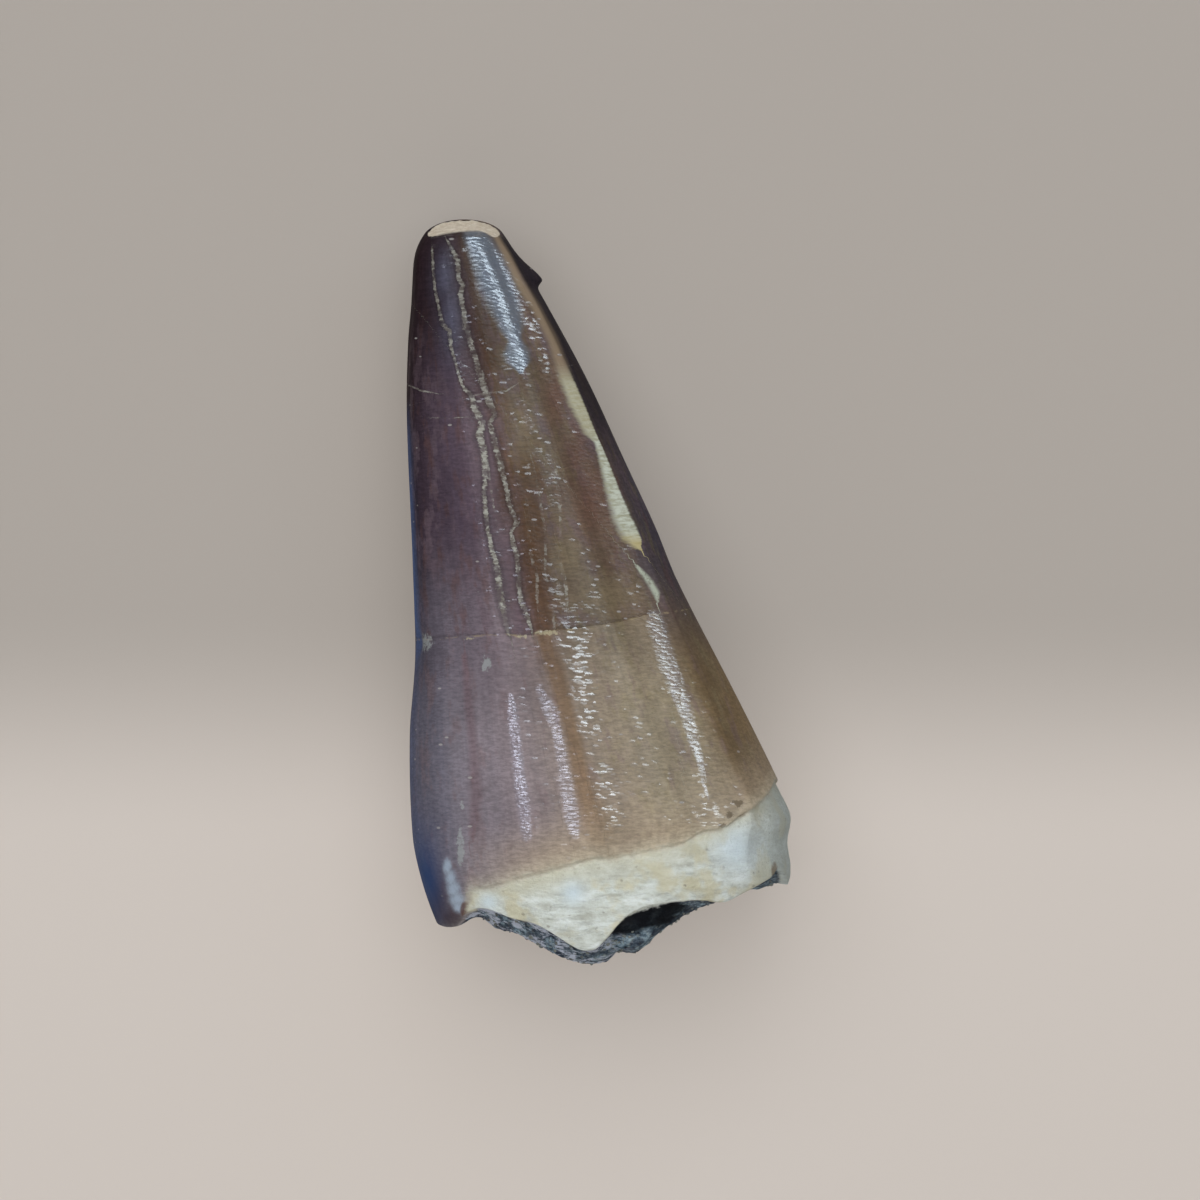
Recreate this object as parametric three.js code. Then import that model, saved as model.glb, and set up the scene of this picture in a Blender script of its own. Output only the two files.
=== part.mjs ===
// A fossil mosasaur tooth: a stout conical crown on the broken stump of its root,
// lying on its flatter face. Millimetres, +Z up, tip towards +Y, origin on the
// surface it rests on, under the middle of its outline.
// It grew and turned to stone as one piece, so it is one mesh.
import * as THREE from "three";

// Driving dimensions, seen from above.
const TOOTH_LENGTH = 60;
const TIP_Y = TOOTH_LENGTH / 2;
const ROUNDED_TIP_Y = TIP_Y + 0.45; // where the tip would end if it weren't worn
const SHOULDER_Y = 26; // above this the crown rounds over into the tip
const TIP_ROUNDING = 2.4; // 2 is a circle, more is squarer
// Outlines as [y, value] pairs, joined by a smooth curve.
const LEFT_EDGE = [
  [-30, -11.6],
  [-26.8, -13.2],
  [-23.5, -14.35],
  [-20, -15.05],
  [-12, -15.3],
  [-5.8, -14.9],
  [2, -15.1],
  [14, -15.6],
  [20, -15.5],
  [23, -15.25],
  [27, -15],
  [30, -14.4],
];
const RIGHT_EDGE = [
  [-30, 12.6],
  [-23.5, 15.6],
  [-20.5, 15.3],
  [-18.5, 15.7],
  [-15.5, 14.4],
  [-9, 11.2],
  [0.6, 6.3],
  [5, 4.5],
  [10.3, 2.05],
  [16.8, -0.95],
  [23.2, -4.4],
  [27.4, -6.85],
  [30, -7.6],
];
// The same two lines seen from the side: the upper face and the resting face.
const TOP_LINE = [
  [-30, 20.2],
  [-25, 22.4],
  [-19, 23.1],
  [-12, 21.6],
  [0, 18.2],
  [10, 15.3],
  [20, 12.5],
  [30, 10.2],
];
const BOTTOM_LINE = [
  [-30, 2.2],
  [-25, 0.3],
  [-20, -0.2],
  [-6, -0.22],
  [5, -0.18],
  [12, 0.4],
  [20, 1.5],
  [30, 3.9],
];

// Cross-section: how much of the thickness is above the widest level, and how
// square each half is.
const UPPER_SHARE = 0.56;
const UPPER_SQUARENESS = 2.15;
const LOWER_SQUARENESS = 2.5;

// The two cutting edges and the long flutes, by their angle round the crown.
// 0 is the right-hand side and 90 the top.
const CARINAE = [
  { angle: 38, height: 0.62, width: 4.2 },
  { angle: 203, height: 0.5, width: 4.6 },
];
const FLUTES = [
  { angle: 57, height: -0.2, width: 8 },
  { angle: 68, height: 0.2, width: 8 },
  { angle: 82, height: -0.16, width: 6 },
  { angle: 92, height: 0.2, width: 6 },
  { angle: 104, height: -0.18, width: 6 },
  { angle: 116, height: 0.22, width: 7 },
  { angle: 133, height: -0.16, width: 8 },
  { angle: 152, height: 0.24, width: 9 },
  { angle: 228, height: 0.2, width: 9 },
  { angle: 250, height: -0.15, width: 8 },
  { angle: 300, height: -0.18, width: 8 },
  { angle: 318, height: 0.22, width: 8 },
];

// A lump on the right-hand edge just below the tip, with a steep lower side.
const LUMP = { y: 25.05, angle: 2, height: 0.85, above: 1.3, below: 0.5, width: 24 };
// A chip at the left-hand end of the crack that crosses the crown.
const CHIP = { y: -4.4, angle: 168, depth: 0.4, reach: 1.2, width: 9 };

// The worn facet at the tip: its height at the middle, its slope and its doming.
const FACET = { x: -10.95, z: 7.2, y: 29.3, slope: 0.32, doming: 0.06, roughness: 0.06 };

// Where the enamel ends on the root, as [angle, y] round the tooth.
const ENAMEL_EDGE = [
  [0, -15.7],
  [11, -15.7],
  [22, -16.5],
  [32, -17.3],
  [41, -18.1],
  [48, -19.2],
  [55, -19.5],
  [61, -20.3],
  [71, -20.8],
  [83, -21.4],
  [94, -21.6],
  [106, -22.3],
  [120, -23.1],
  [133, -23.9],
  [142, -24.5],
  [149, -27.3],
  [165, -27.8],
  [184, -27.2],
  [200, -22.9],
  [226, -22.2],
  [250, -21.3],
  [276, -20.6],
  [300, -19.4],
  [322, -17.9],
  [342, -16.4],
];
const LEDGE = { height: 0.32, rise: 0.3 }; // the enamel stands this proud of the root
// The jagged edge where the root broke off, as [angle, y] round the root.
const BROKEN_EDGE = [
  [2, -23.9],
  [10, -23.3],
  [18, -22.1],
  [27, -23.2],
  [37, -24.2],
  [45, -25],
  [54, -24.8],
  [66, -24.9],
  [77, -25.4],
  [83, -26.2],
  [89, -27.7],
  [95, -28.7],
  [102, -28.7],
  [110, -27.7],
  [118, -26.7],
  [128, -26.2],
  [137, -25.5],
  [144, -25.7],
  [150, -26.6],
  [155, -27.1],
  [168, -27.1],
  [182, -26.6],
  [200, -24.6],
  [222, -25.2],
  [243, -23.8],
  [262, -24.4],
  [284, -23.5],
  [306, -24.6],
  [328, -22.9],
  [346, -23.6],
];
// How far the broken face stands out behind that edge, as [x, y] across the root.
const BROKEN_FACE = [
  [-13.5, -25.2],
  [-10.3, -25.4],
  [-8.6, -26.9],
  [-6.5, -27.6],
  [-4.4, -28.7],
  [-2, -29.7],
  [-0.9, -29.9],
  [0.4, -29.6],
  [1.4, -28.9],
  [3.1, -28.8],
  [4.6, -27.5],
  [7, -25.9],
  [10.1, -24.9],
  [12, -24.5],
  [13.4, -24.1],
  [14.5, -22.2],
];
const CREST_Z = 15; // the broken face stands out furthest at this height
const LOWER_BREAK_Y = -23.5; // and falls back to this at the resting face
const BREAK_EDGE_WIDTH = 3.4; // how far in the edge blends into the face
const BREAK_LUMPS = [
  { size: 5.2, height: 1.2 },
  { size: 2.3, height: 0.6 },
  { size: 1.3, height: 0.25 },
];
const CREST_LUMPS = 0.25; // the share of those lumps left at the crest
const WALL_LUMPS = { size: 2.6, height: 0.2 }; // on the bare root, below the enamel

// How finely the surface is divided.
const COLUMNS = 64;
const ROOT_ROWS = 5;
const CROWN_ROWS = 33;
const TIP_ROWS_FROM = 22;
const TIP_ROWS = 10;
const FACET_RINGS = 3;
const BREAK_RINGS = 10;
const SHORTEST_ROOT = 0.7;

const RADIANS = Math.PI / 180;

// A smooth curve through [position, value] pairs. With a period it closes on itself.
function curveThrough(points, period = 0) {
  const n = points.length;
  const at = (i) => {
    const turns = Math.floor(i / n);
    const [p, v] = points[period ? i - turns * n : Math.min(Math.max(i, 0), n - 1)];
    return [p + turns * period, v];
  };
  const slope = (i) => {
    const [[p0, v0], [p1, v1]] = [at(i - 1), at(i + 1)];
    return p1 === p0 ? 0 : (v1 - v0) / (p1 - p0);
  };
  return (raw) => {
    let p = raw;
    if (period) p = points[0][0] + ((((raw - points[0][0]) % period) + period) % period);
    let i = 0;
    while (i < (period ? n - 1 : n - 2) && p > at(i + 1)[0]) i += 1;
    const [[p0, v0], [p1, v1]] = [at(i), at(i + 1)];
    const gap = p1 - p0;
    const t = Math.min(Math.max((p - p0) / gap, 0), 1);
    const t2 = t * t;
    const t3 = t2 * t;
    return (
      (2 * t3 - 3 * t2 + 1) * v0 +
      (t3 - 2 * t2 + t) * gap * slope(i) +
      (3 * t2 - 2 * t3) * v1 +
      (t3 - t2) * gap * slope(i + 1)
    );
  };
}

const leftEdge = curveThrough(LEFT_EDGE);
const rightEdge = curveThrough(RIGHT_EDGE);
const topLine = curveThrough(TOP_LINE);
const bottomLine = curveThrough(BOTTOM_LINE);
const brokenEdge = curveThrough(BROKEN_EDGE, 360);
const brokenFace = curveThrough(BROKEN_FACE);
const enamelEdge = curveThrough(ENAMEL_EDGE, 360);

// A repeatable random number from -1 to 1 at each corner of a unit grid.
function cornerValue(i, j, k) {
  let h = (Math.imul(i, 374761393) + Math.imul(j, 668265263) + Math.imul(k, 1442695041)) | 0;
  h = Math.imul(h ^ (h >>> 13), 1274126177);
  return (((h ^ (h >>> 16)) >>> 0) / 4294967295) * 2 - 1;
}

// Smooth lumps about one unit across, from -1 to 1.
function lumps(x, y, z) {
  const [i, j, k] = [Math.floor(x), Math.floor(y), Math.floor(z)];
  const ease = (t) => t * t * (3 - 2 * t);
  const [u, v, w] = [ease(x - i), ease(y - j), ease(z - k)];
  const mix = (a, b, t) => a + (b - a) * t;
  const edge = (dj, dk) => mix(cornerValue(i, j + dj, k + dk), cornerValue(i + 1, j + dj, k + dk), u);
  return mix(mix(edge(0, 0), edge(1, 0), v), mix(edge(0, 1), edge(1, 1), v), w);
}

const smoothStep = (low, high, value) => {
  const t = Math.min(Math.max((value - low) / (high - low), 0), 1);
  return t * t * (3 - 2 * t);
};

// A bell of height 1 round an angle, in degrees.
function bell(angle, middle, width) {
  const away = ((((angle - middle + 180) % 360) + 360) % 360) - 180;
  return Math.exp(-((away / width) ** 2));
}

// A cutting edge: a sharp crest that leans away evenly on both sides.
function crest(angle, middle, width) {
  const away = Math.abs(((((angle - middle + 180) % 360) + 360) % 360) - 180);
  return 0.55 * Math.exp(-away / width) + 0.45 * Math.exp(-((away / (3 * width)) ** 2));
}

// The middle and half sizes of the cross-section at y.
function sectionAt(y) {
  const past = Math.min(Math.max((y - SHOULDER_Y) / (ROUNDED_TIP_Y - SHOULDER_Y), 0), 1);
  const rounding = (1 - past ** TIP_ROUNDING) ** (1 / TIP_ROUNDING);
  const thickness = topLine(y) - bottomLine(y);
  const middleZ = bottomLine(y) + thickness * (1 - UPPER_SHARE);
  const tipMiddleZ = bottomLine(y) + thickness / 2;
  return {
    x: (leftEdge(y) + rightEdge(y)) / 2,
    z: middleZ + (tipMiddleZ - middleZ) * past,
    halfWidth: ((rightEdge(y) - leftEdge(y)) / 2) * rounding,
    upper: (thickness * UPPER_SHARE + thickness * (0.5 - UPPER_SHARE) * past) * rounding,
    lower: (thickness * (1 - UPPER_SHARE) + thickness * (UPPER_SHARE - 0.5) * past) * rounding,
  };
}

// Raised and sunken features of the outside, in millimetres along the radius.
function reliefAt(angle, y, halfWidth) {
  const size = Math.min(halfWidth / 9, 1.15);
  const onCrown = smoothStep(-25, -19, y);
  const belowTip = 1 - smoothStep(26.5, 29, y);
  let height = 0;
  for (const c of CARINAE) height += c.height * crest(angle, c.angle, c.width) * onCrown * size;
  for (const f of FLUTES) height += f.height * bell(angle, f.angle, f.width) * onCrown * size;
  height *= belowTip;
  const lumpSide = y > LUMP.y ? LUMP.above : LUMP.below;
  height += LUMP.height * Math.exp(-(((y - LUMP.y) / lumpSide) ** 2)) * bell(angle, LUMP.angle, LUMP.width);
  height -= CHIP.depth * Math.exp(-(((y - CHIP.y) / CHIP.reach) ** 2)) * bell(angle, CHIP.angle, CHIP.width);
  return height;
}

// A point of the outside at an angle round the tooth, in degrees, and a y.
function wallPoint(angle, y) {
  const s = sectionAt(y);
  const [c, n] = [Math.cos(angle * RADIANS), Math.sin(angle * RADIANS)];
  const height = n > 0 ? s.upper : s.lower;
  const squareness = n > 0 ? UPPER_SQUARENESS : LOWER_SQUARENESS;
  const across = Math.abs(c / Math.max(s.halfWidth, 1e-6)) ** squareness;
  const upward = Math.abs(n / Math.max(height, 1e-6)) ** squareness;
  const shape = (across + upward) ** (-1 / squareness);
  const bare = 1 - smoothStep(0, LEDGE.rise, y - enamelEdge(angle));
  const w = WALL_LUMPS.size;
  const rough = WALL_LUMPS.height * lumps((s.x + shape * c) / w, y / w, (s.z + shape * n) / w);
  const radius = shape + reliefAt(angle, y, s.halfWidth) + bare * (rough - LEDGE.height);
  return new THREE.Vector3(s.x + radius * c, y, s.z + radius * n);
}

function facetY(x, z) {
  return FACET.y - FACET.slope * (z - FACET.z) - FACET.doming * (x - FACET.x) ** 2;
}

// Where the outside meets the worn facet, found by halving.
function facetEdgeY(angle) {
  let [low, high] = [SHOULDER_Y, ROUNDED_TIP_Y];
  for (let i = 0; i < 40; i += 1) {
    const y = (low + high) / 2;
    const p = wallPoint(angle, y);
    if (y < facetY(p.x, p.z)) low = y;
    else high = y;
  }
  return low;
}

// The rough inner part of the broken face.
function breakY(x, z) {
  const fall = 1 - smoothStep(0, CREST_Z, z);
  const share = CREST_LUMPS + (1 - CREST_LUMPS) * fall;
  let y = brokenFace(x) + (LOWER_BREAK_Y - brokenFace(x)) * fall;
  for (const b of BREAK_LUMPS) y += share * b.height * lumps(x / b.size, z / b.size, 7.3);
  return Math.max(y, -TIP_Y);
}

// One closed ring of points for each row, from the middle of the broken face,
// over its edge, up the outside and over the worn facet to its middle.
function ringsOfPoints() {
  const angles = Array.from({ length: COLUMNS }, (_, i) => (i * 360) / COLUMNS);
  const rootEdge = angles.map((a) => wallPoint(a, brokenEdge(a)));
  const crownFrom = angles.map((a) => Math.max(enamelEdge(a), brokenEdge(a) + SHORTEST_ROOT));
  const facetEdge = angles.map((a) => wallPoint(a, facetEdgeY(a)));
  const root = sectionAt(-24);
  const rings = [];
  for (let r = 1; r < BREAK_RINGS; r += 1) {
    const share = r / BREAK_RINGS;
    rings.push(
      rootEdge.map((edge) => {
        const x = root.x + (edge.x - root.x) * share;
        const z = root.z + (edge.z - root.z) * share;
        const inward = Math.hypot(edge.x - x, edge.z - z);
        const blend = smoothStep(0, BREAK_EDGE_WIDTH, inward);
        return new THREE.Vector3(x, edge.y + (breakY(x, z) - edge.y) * blend, z);
      }),
    );
  }
  const addRows = (count, from, to, spacing = 1) => {
    for (let r = 0; r < count; r += 1) {
      const share = 1 - (1 - r / count) ** spacing;
      rings.push(angles.map((a, i) => wallPoint(a, from(i) + (to(i) - from(i)) * share)));
    }
  };
  addRows(ROOT_ROWS, (i) => rootEdge[i].y, (i) => crownFrom[i]);
  addRows(1, (i) => crownFrom[i], (i) => crownFrom[i] + LEDGE.rise);
  addRows(CROWN_ROWS, (i) => crownFrom[i] + LEDGE.rise, () => TIP_ROWS_FROM);
  addRows(TIP_ROWS, () => TIP_ROWS_FROM, (i) => facetEdge[i].y, 1.5);
  rings.push(facetEdge);
  const middle = facetEdge.reduce((sum, p) => sum.add(p), new THREE.Vector3()).divideScalar(COLUMNS);
  for (let r = 1; r < FACET_RINGS; r += 1) {
    const share = 1 - r / FACET_RINGS;
    rings.push(
      facetEdge.map((edge) => {
        const x = middle.x + (edge.x - middle.x) * share;
        const z = middle.z + (edge.z - middle.z) * share;
        return new THREE.Vector3(x, facetY(x, z) + FACET.roughness * lumps(3 * x, 3 * z, 1), z);
      }),
    );
  }
  const breakMiddle = new THREE.Vector3(root.x, breakY(root.x, root.z), root.z);
  const facetMiddle = new THREE.Vector3(middle.x, facetY(middle.x, middle.z), middle.z);
  return { rings, breakMiddle, facetMiddle };
}

// Joins the rings into one closed surface. What would reach below the surface it
// rests on is worn flat there, which leaves the small flat spot it lies on.
function toothGeometry() {
  const { rings, breakMiddle, facetMiddle } = ringsOfPoints();
  const points = [...rings.flat(), breakMiddle, facetMiddle];
  const first = points.length - 2;
  const last = points.length - 1;
  const faces = [];
  for (let c = 0; c < COLUMNS; c += 1) {
    const next = (c + 1) % COLUMNS;
    faces.push(first, c, next);
    for (let r = 0; r + 1 < rings.length; r += 1) {
      const [a, b] = [r * COLUMNS + c, r * COLUMNS + next];
      faces.push(a, a + COLUMNS, b, b, a + COLUMNS, b + COLUMNS);
    }
    const top = (rings.length - 1) * COLUMNS;
    faces.push(top + c, last, top + next);
  }
  const positions = points.flatMap((p) => [p.x, p.y, Math.max(p.z, 0)]);
  const geometry = new THREE.BufferGeometry();
  geometry.setAttribute("position", new THREE.Float32BufferAttribute(positions, 3));
  geometry.setIndex(faces);
  geometry.computeVertexNormals();
  return geometry;
}

const fossil = new THREE.MeshStandardMaterial({ color: 0x6e5d57, roughness: 0.35, metalness: 0 });

function makeTooth() {
  const tooth = new THREE.Mesh(toothGeometry(), fossil);
  tooth.name = "tooth";
  return tooth;
}

const specimen = new THREE.Group();
specimen.add(makeTooth());

export default specimen;
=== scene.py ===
# %% [markdown]
# # A fossil mosasaur tooth, lying on its back face
# The real thing is one piece of stone: a stout conical crown of dark glossy enamel on
# the broken stump of its root, with hardened sediment in the pulp cavity. It is built
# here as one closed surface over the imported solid, in the same frame: +Y runs to the
# tip, +Z points out of the face that is shown, and the floor is at zero. Shapes are
# worked out in millimetres, as they would be at the bench, and turned to metres last.

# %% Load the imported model
import math
from functools import partial, reduce

import bpy
import numpy as np
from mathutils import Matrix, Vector


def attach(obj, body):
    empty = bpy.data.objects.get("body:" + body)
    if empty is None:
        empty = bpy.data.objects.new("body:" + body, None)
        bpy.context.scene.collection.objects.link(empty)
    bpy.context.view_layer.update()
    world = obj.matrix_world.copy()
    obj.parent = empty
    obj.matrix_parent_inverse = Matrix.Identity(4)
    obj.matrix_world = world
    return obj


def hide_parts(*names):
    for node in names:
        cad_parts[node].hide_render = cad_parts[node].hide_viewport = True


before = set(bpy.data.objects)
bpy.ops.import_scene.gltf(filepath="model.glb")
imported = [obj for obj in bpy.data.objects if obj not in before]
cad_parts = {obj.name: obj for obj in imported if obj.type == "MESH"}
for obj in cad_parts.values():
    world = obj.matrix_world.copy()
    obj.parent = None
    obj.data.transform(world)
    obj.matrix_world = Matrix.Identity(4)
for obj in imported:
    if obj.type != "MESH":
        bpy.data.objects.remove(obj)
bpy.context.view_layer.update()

print("packed nodes:", sorted(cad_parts))

# %% [markdown]
# ## From the photograph to the bench
# The tooth is 744 pixels long in the 1200 pixel picture and 60 mm long on the bench,
# so one number turns pixels into millimetres. It places the cracks and stains, which
# are wherever chance put them and follow no rule that could be written instead.

# %% Scale and the picture's centre
MM = 0.001
TOOTH_LENGTH = 60.0
TIP_Y = TOOTH_LENGTH / 2
ROUNDED_TIP_Y = TIP_Y + 0.45
MM_PER_PIXEL = TOOTH_LENGTH / 744
ORIGIN_PIXEL = (599.5, 588.0)


def bench(px, py):
    """A pixel of the picture as x and y in millimetres."""
    return (px - ORIGIN_PIXEL[0]) * MM_PER_PIXEL, (ORIGIN_PIXEL[1] - py) * MM_PER_PIXEL


print("mm per pixel:", round(MM_PER_PIXEL, 4))

# %% [markdown]
# ## The shape's rule
# A crown like this is a stack of rounded cross-sections. Four long curves say where
# the left, right, upper and lower sides run. The solid was made from the same
# curves, so repeating them here on a grid some thirty times finer gives a surface
# that lies on the solid but is smooth enough for glossy enamel. A hand-pushed
# sculpt would drift from the solid, and subdividing it would only round its facets.

# %% A smooth curve through measured points
def curve_through(points, period=0.0):
    """A function that joins (position, value) pairs smoothly; with a period it closes on itself."""
    pairs = np.array(points, float)
    start = pairs[0, 0]
    if period:
        turn = np.array([period, 0.0])
        pairs = np.vstack([pairs[-2:] - turn, pairs, pairs[:2] + turn])
    at, value = pairs.T
    before = np.maximum(np.arange(len(at)) - 1, 0)
    after = np.minimum(np.arange(len(at)) + 1, len(at) - 1)
    slope = (value[after] - value[before]) / (at[after] - at[before])

    def curve(where):
        p = np.asarray(where, float)
        if period:
            p = start + (p - start) % period
        i = np.clip(np.searchsorted(at, p, side="right") - 1, 0, len(at) - 2)
        gap = at[i + 1] - at[i]
        t = np.clip((p - at[i]) / gap, 0, 1)
        return (
            (2 * t**3 - 3 * t**2 + 1) * value[i]
            + (t**3 - 2 * t**2 + t) * gap * slope[i]
            + (3 * t**2 - 2 * t**3) * value[i + 1]
            + (t**3 - t**2) * gap * slope[i + 1]
        )

    return curve


# %% The four long curves
left_edge = curve_through([
    (-30, -11.6), (-26.8, -13.2), (-23.5, -14.35), (-20, -15.05), (-12, -15.3),
    (-5.8, -14.9), (2, -15.1), (14, -15.6), (20, -15.5), (23, -15.25), (27, -15),
    (30, -14.4),
])
right_edge = curve_through([
    (-30, 12.6), (-23.5, 15.6), (-20.5, 15.3), (-18.5, 15.7), (-15.5, 14.4), (-9, 11.2),
    (0.6, 6.3), (5, 4.5), (10.3, 2.05), (16.8, -0.95), (23.2, -4.4), (27.4, -6.85), (30, -7.6),
])
top_line = curve_through([
    (-30, 20.2), (-25, 22.4), (-19, 23.1), (-12, 21.6), (0, 18.2), (10, 15.3),
    (20, 12.5), (30, 10.2),
])
bottom_line = curve_through([
    (-30, 2.2), (-25, 0.3), (-20, -0.2), (-6, -0.22), (5, -0.18), (12, 0.4),
    (20, 1.5), (30, 3.9),
])
print("width at the base, mm:", round(float(right_edge(-19) - left_edge(-19)), 1))

# %% The cross-section at any height
SHOULDER_Y = 26
TIP_ROUNDING = 2.4
UPPER_SHARE = 0.56
UPPER_SQUARENESS = 2.15
LOWER_SQUARENESS = 2.5


def section_at(y):
    """The middle and half sizes of the cross-section at y."""
    past = np.clip((y - SHOULDER_Y) / (ROUNDED_TIP_Y - SHOULDER_Y), 0, 1)
    rounding = (1 - past**TIP_ROUNDING) ** (1 / TIP_ROUNDING)
    low = bottom_line(y)
    thickness = top_line(y) - low
    share = UPPER_SHARE + (0.5 - UPPER_SHARE) * past
    return {
        "x": (left_edge(y) + right_edge(y)) / 2,
        "z": low + thickness * (1 - share),
        "half_width": (right_edge(y) - left_edge(y)) / 2 * rounding,
        "upper": thickness * share * rounding,
        "lower": thickness * (1 - share) * rounding,
    }


# %% [markdown]
# ## Flutes, cutting edges and lumps
# The crown carries two cutting edges, the carinae, and a dozen long soft flutes that
# fade to the tip. Each is a bump over a range of angles round the crown, so they
# converge by themselves as it narrows.

# %% Bumps over the angle round the crown
CARINAE = [(38, 0.62, 4.2), (203, 0.5, 4.6)]
FLUTES = [
    (57, -0.2, 8), (68, 0.2, 8), (82, -0.16, 6), (92, 0.2, 6), (104, -0.18, 6), (116, 0.22, 7),
    (133, -0.16, 8), (152, 0.24, 9), (228, 0.2, 9), (250, -0.15, 8), (300, -0.18, 8), (318, 0.22, 8),
]
TIP_LUMP = {"y": 25.05, "angle": 2, "height": 0.85, "above": 1.3, "below": 0.5, "width": 24}
EDGE_CHIP = {"y": -4.4, "angle": 168, "depth": 0.4, "reach": 1.2, "width": 9}
FLUTES_START = (-25, -19)
FLUTES_END = (26.5, 29)
FULL_RELIEF_HALF_WIDTH = 9
LARGEST_RELIEF = 1.15
SHARP_SHARE = 0.55
FOOT_WIDTH = 3


def smooth_step(low, high, value):
    """0 below low, 1 above high, and an easy rise between."""
    t = np.clip((value - low) / (high - low), 0, 1)
    return t * t * (3 - 2 * t)


def angle_from(angle, middle):
    """How far an angle is from a middle one, -180 to 180 degrees."""
    return (angle - middle + 180) % 360 - 180


def bell(angle, middle, width):
    """A bump of height 1 round an angle."""
    return np.exp(-((angle_from(angle, middle) / width) ** 2))


def crest(angle, middle, width):
    """A sharp crest that falls away evenly on both sides."""
    away = np.abs(angle_from(angle, middle))
    foot = np.exp(-((away / (FOOT_WIDTH * width)) ** 2))
    return SHARP_SHARE * np.exp(-away / width) + (1 - SHARP_SHARE) * foot


def relief_at(angle, y, half_width):
    """How far the surface stands out from the plain section, in millimetres."""
    size = np.minimum(half_width / FULL_RELIEF_HALF_WIDTH, LARGEST_RELIEF)
    size = size * smooth_step(*FLUTES_START, y) * (1 - smooth_step(*FLUTES_END, y))
    height = sum(h * crest(angle, middle, width) for middle, h, width in CARINAE)
    height = height + sum(h * bell(angle, middle, width) for middle, h, width in FLUTES)
    side = np.where(y > TIP_LUMP["y"], TIP_LUMP["above"], TIP_LUMP["below"])
    lump = np.exp(-(((y - TIP_LUMP["y"]) / side) ** 2))
    lump = lump * bell(angle, TIP_LUMP["angle"], TIP_LUMP["width"])
    chip = np.exp(-(((y - EDGE_CHIP["y"]) / EDGE_CHIP["reach"]) ** 2))
    chip = chip * bell(angle, EDGE_CHIP["angle"], EDGE_CHIP["width"])
    return height * size + TIP_LUMP["height"] * lump - EDGE_CHIP["depth"] * chip


# %% Repeatable lumps for broken stone
HASH_STEPS = [np.uint64(n) for n in (374761393, 668265263, 1442695041)]
HASH_MIX = np.uint64(1274126177)
HASH_SHIFTS = (np.uint64(13), np.uint64(16))
HASH_MASK = np.uint64(0xFFFFFFFF)


def corner_value(i, j, k):
    """A fixed random number from -1 to 1 for each corner of a unit grid."""
    wholes = [np.asarray(n, np.int64).astype(np.uint64) & HASH_MASK for n in (i, j, k)]
    h = sum((whole * step for whole, step in zip(wholes, HASH_STEPS)), np.uint64(0)) & HASH_MASK
    h = ((h ^ (h >> HASH_SHIFTS[0])) * HASH_MIX) & HASH_MASK
    return (h ^ (h >> HASH_SHIFTS[1])).astype(float) / float(HASH_MASK) * 2 - 1


def lumps(x, y, z):
    """Smooth lumps about one unit across, from -1 to 1."""
    x, y, z = np.broadcast_arrays(x, y, z)
    i, j, k = (np.floor(v).astype(np.int64) for v in (x, y, z))
    u, v, w = (t * t * (3 - 2 * t) for t in (x - i, y - j, z - k))
    total = 0.0
    for di, a in ((0, 1 - u), (1, u)):
        for dj, b in ((0, 1 - v), (1, v)):
            for dk, c in ((0, 1 - w), (1, w)):
                total = total + a * b * c * corner_value(i + di, j + dj, k + dk)
    return total


print("lump check:", round(float(lumps(0.3, 0.6, 0.9)), 4))

# %% [markdown]
# ## Where the enamel ends and where the root broke
# Two wandering lines run round the base. Above the first is enamel, which stands a
# third of a millimetre proud. Between them is the bare cream root. Below the second is
# the broken face, where the grey filling of the pulp cavity shows.

# %% The enamel's edge and the broken edge
enamel_edge = curve_through([
    (0, -15.7), (11, -15.7), (22, -16.5), (32, -17.3), (41, -18.1), (48, -19.2), (55, -19.5),
    (61, -20.3), (71, -20.8), (83, -21.4), (94, -21.6), (106, -22.3), (120, -23.1), (133, -23.9),
    (142, -24.5), (149, -27.3), (165, -27.8), (184, -27.2), (200, -22.9), (226, -22.2),
    (250, -21.3), (276, -20.6), (300, -19.4), (322, -17.9), (342, -16.4),
], 360)
broken_edge = curve_through([
    (2, -23.9), (10, -23.3), (18, -22.1), (27, -23.2), (37, -24.2), (45, -25), (54, -24.8), (66, -24.9),
    (77, -25.4), (83, -26.2), (89, -27.7), (95, -28.7), (102, -28.7), (110, -27.7), (118, -26.7),
    (128, -26.2), (137, -25.5), (144, -25.7), (150, -26.6), (155, -27.1), (168, -27.1), (182, -26.6),
    (200, -24.6), (222, -25.2), (243, -23.8), (262, -24.4), (284, -23.5), (306, -24.6),
    (328, -22.9), (346, -23.6),
], 360)
LEDGE_HEIGHT = 0.32
LEDGE_RISE = 0.3
WALL_LUMP_SIZE = 2.6
WALL_LUMP_HEIGHT = 0.2


def wall_point(angle, y):
    """Points of the outside at angles round the tooth, in degrees, and heights y."""
    s = section_at(y)
    c, n = np.cos(np.radians(angle)), np.sin(np.radians(angle))
    height = np.where(n > 0, s["upper"], s["lower"])
    square = np.where(n > 0, UPPER_SQUARENESS, LOWER_SQUARENESS)
    across = np.abs(c / np.maximum(s["half_width"], 1e-6)) ** square
    upward = np.abs(n / np.maximum(height, 1e-6)) ** square
    shape = (across + upward) ** (-1 / square)
    bare = 1 - smooth_step(0, LEDGE_RISE, y - enamel_edge(angle))
    w = WALL_LUMP_SIZE
    rough = WALL_LUMP_HEIGHT * lumps((s["x"] + shape * c) / w, y / w, (s["z"] + shape * n) / w)
    radius = shape + relief_at(angle, y, s["half_width"]) + bare * (rough - LEDGE_HEIGHT)
    return np.stack([s["x"] + radius * c, y + 0 * radius, s["z"] + radius * n], -1)


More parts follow.
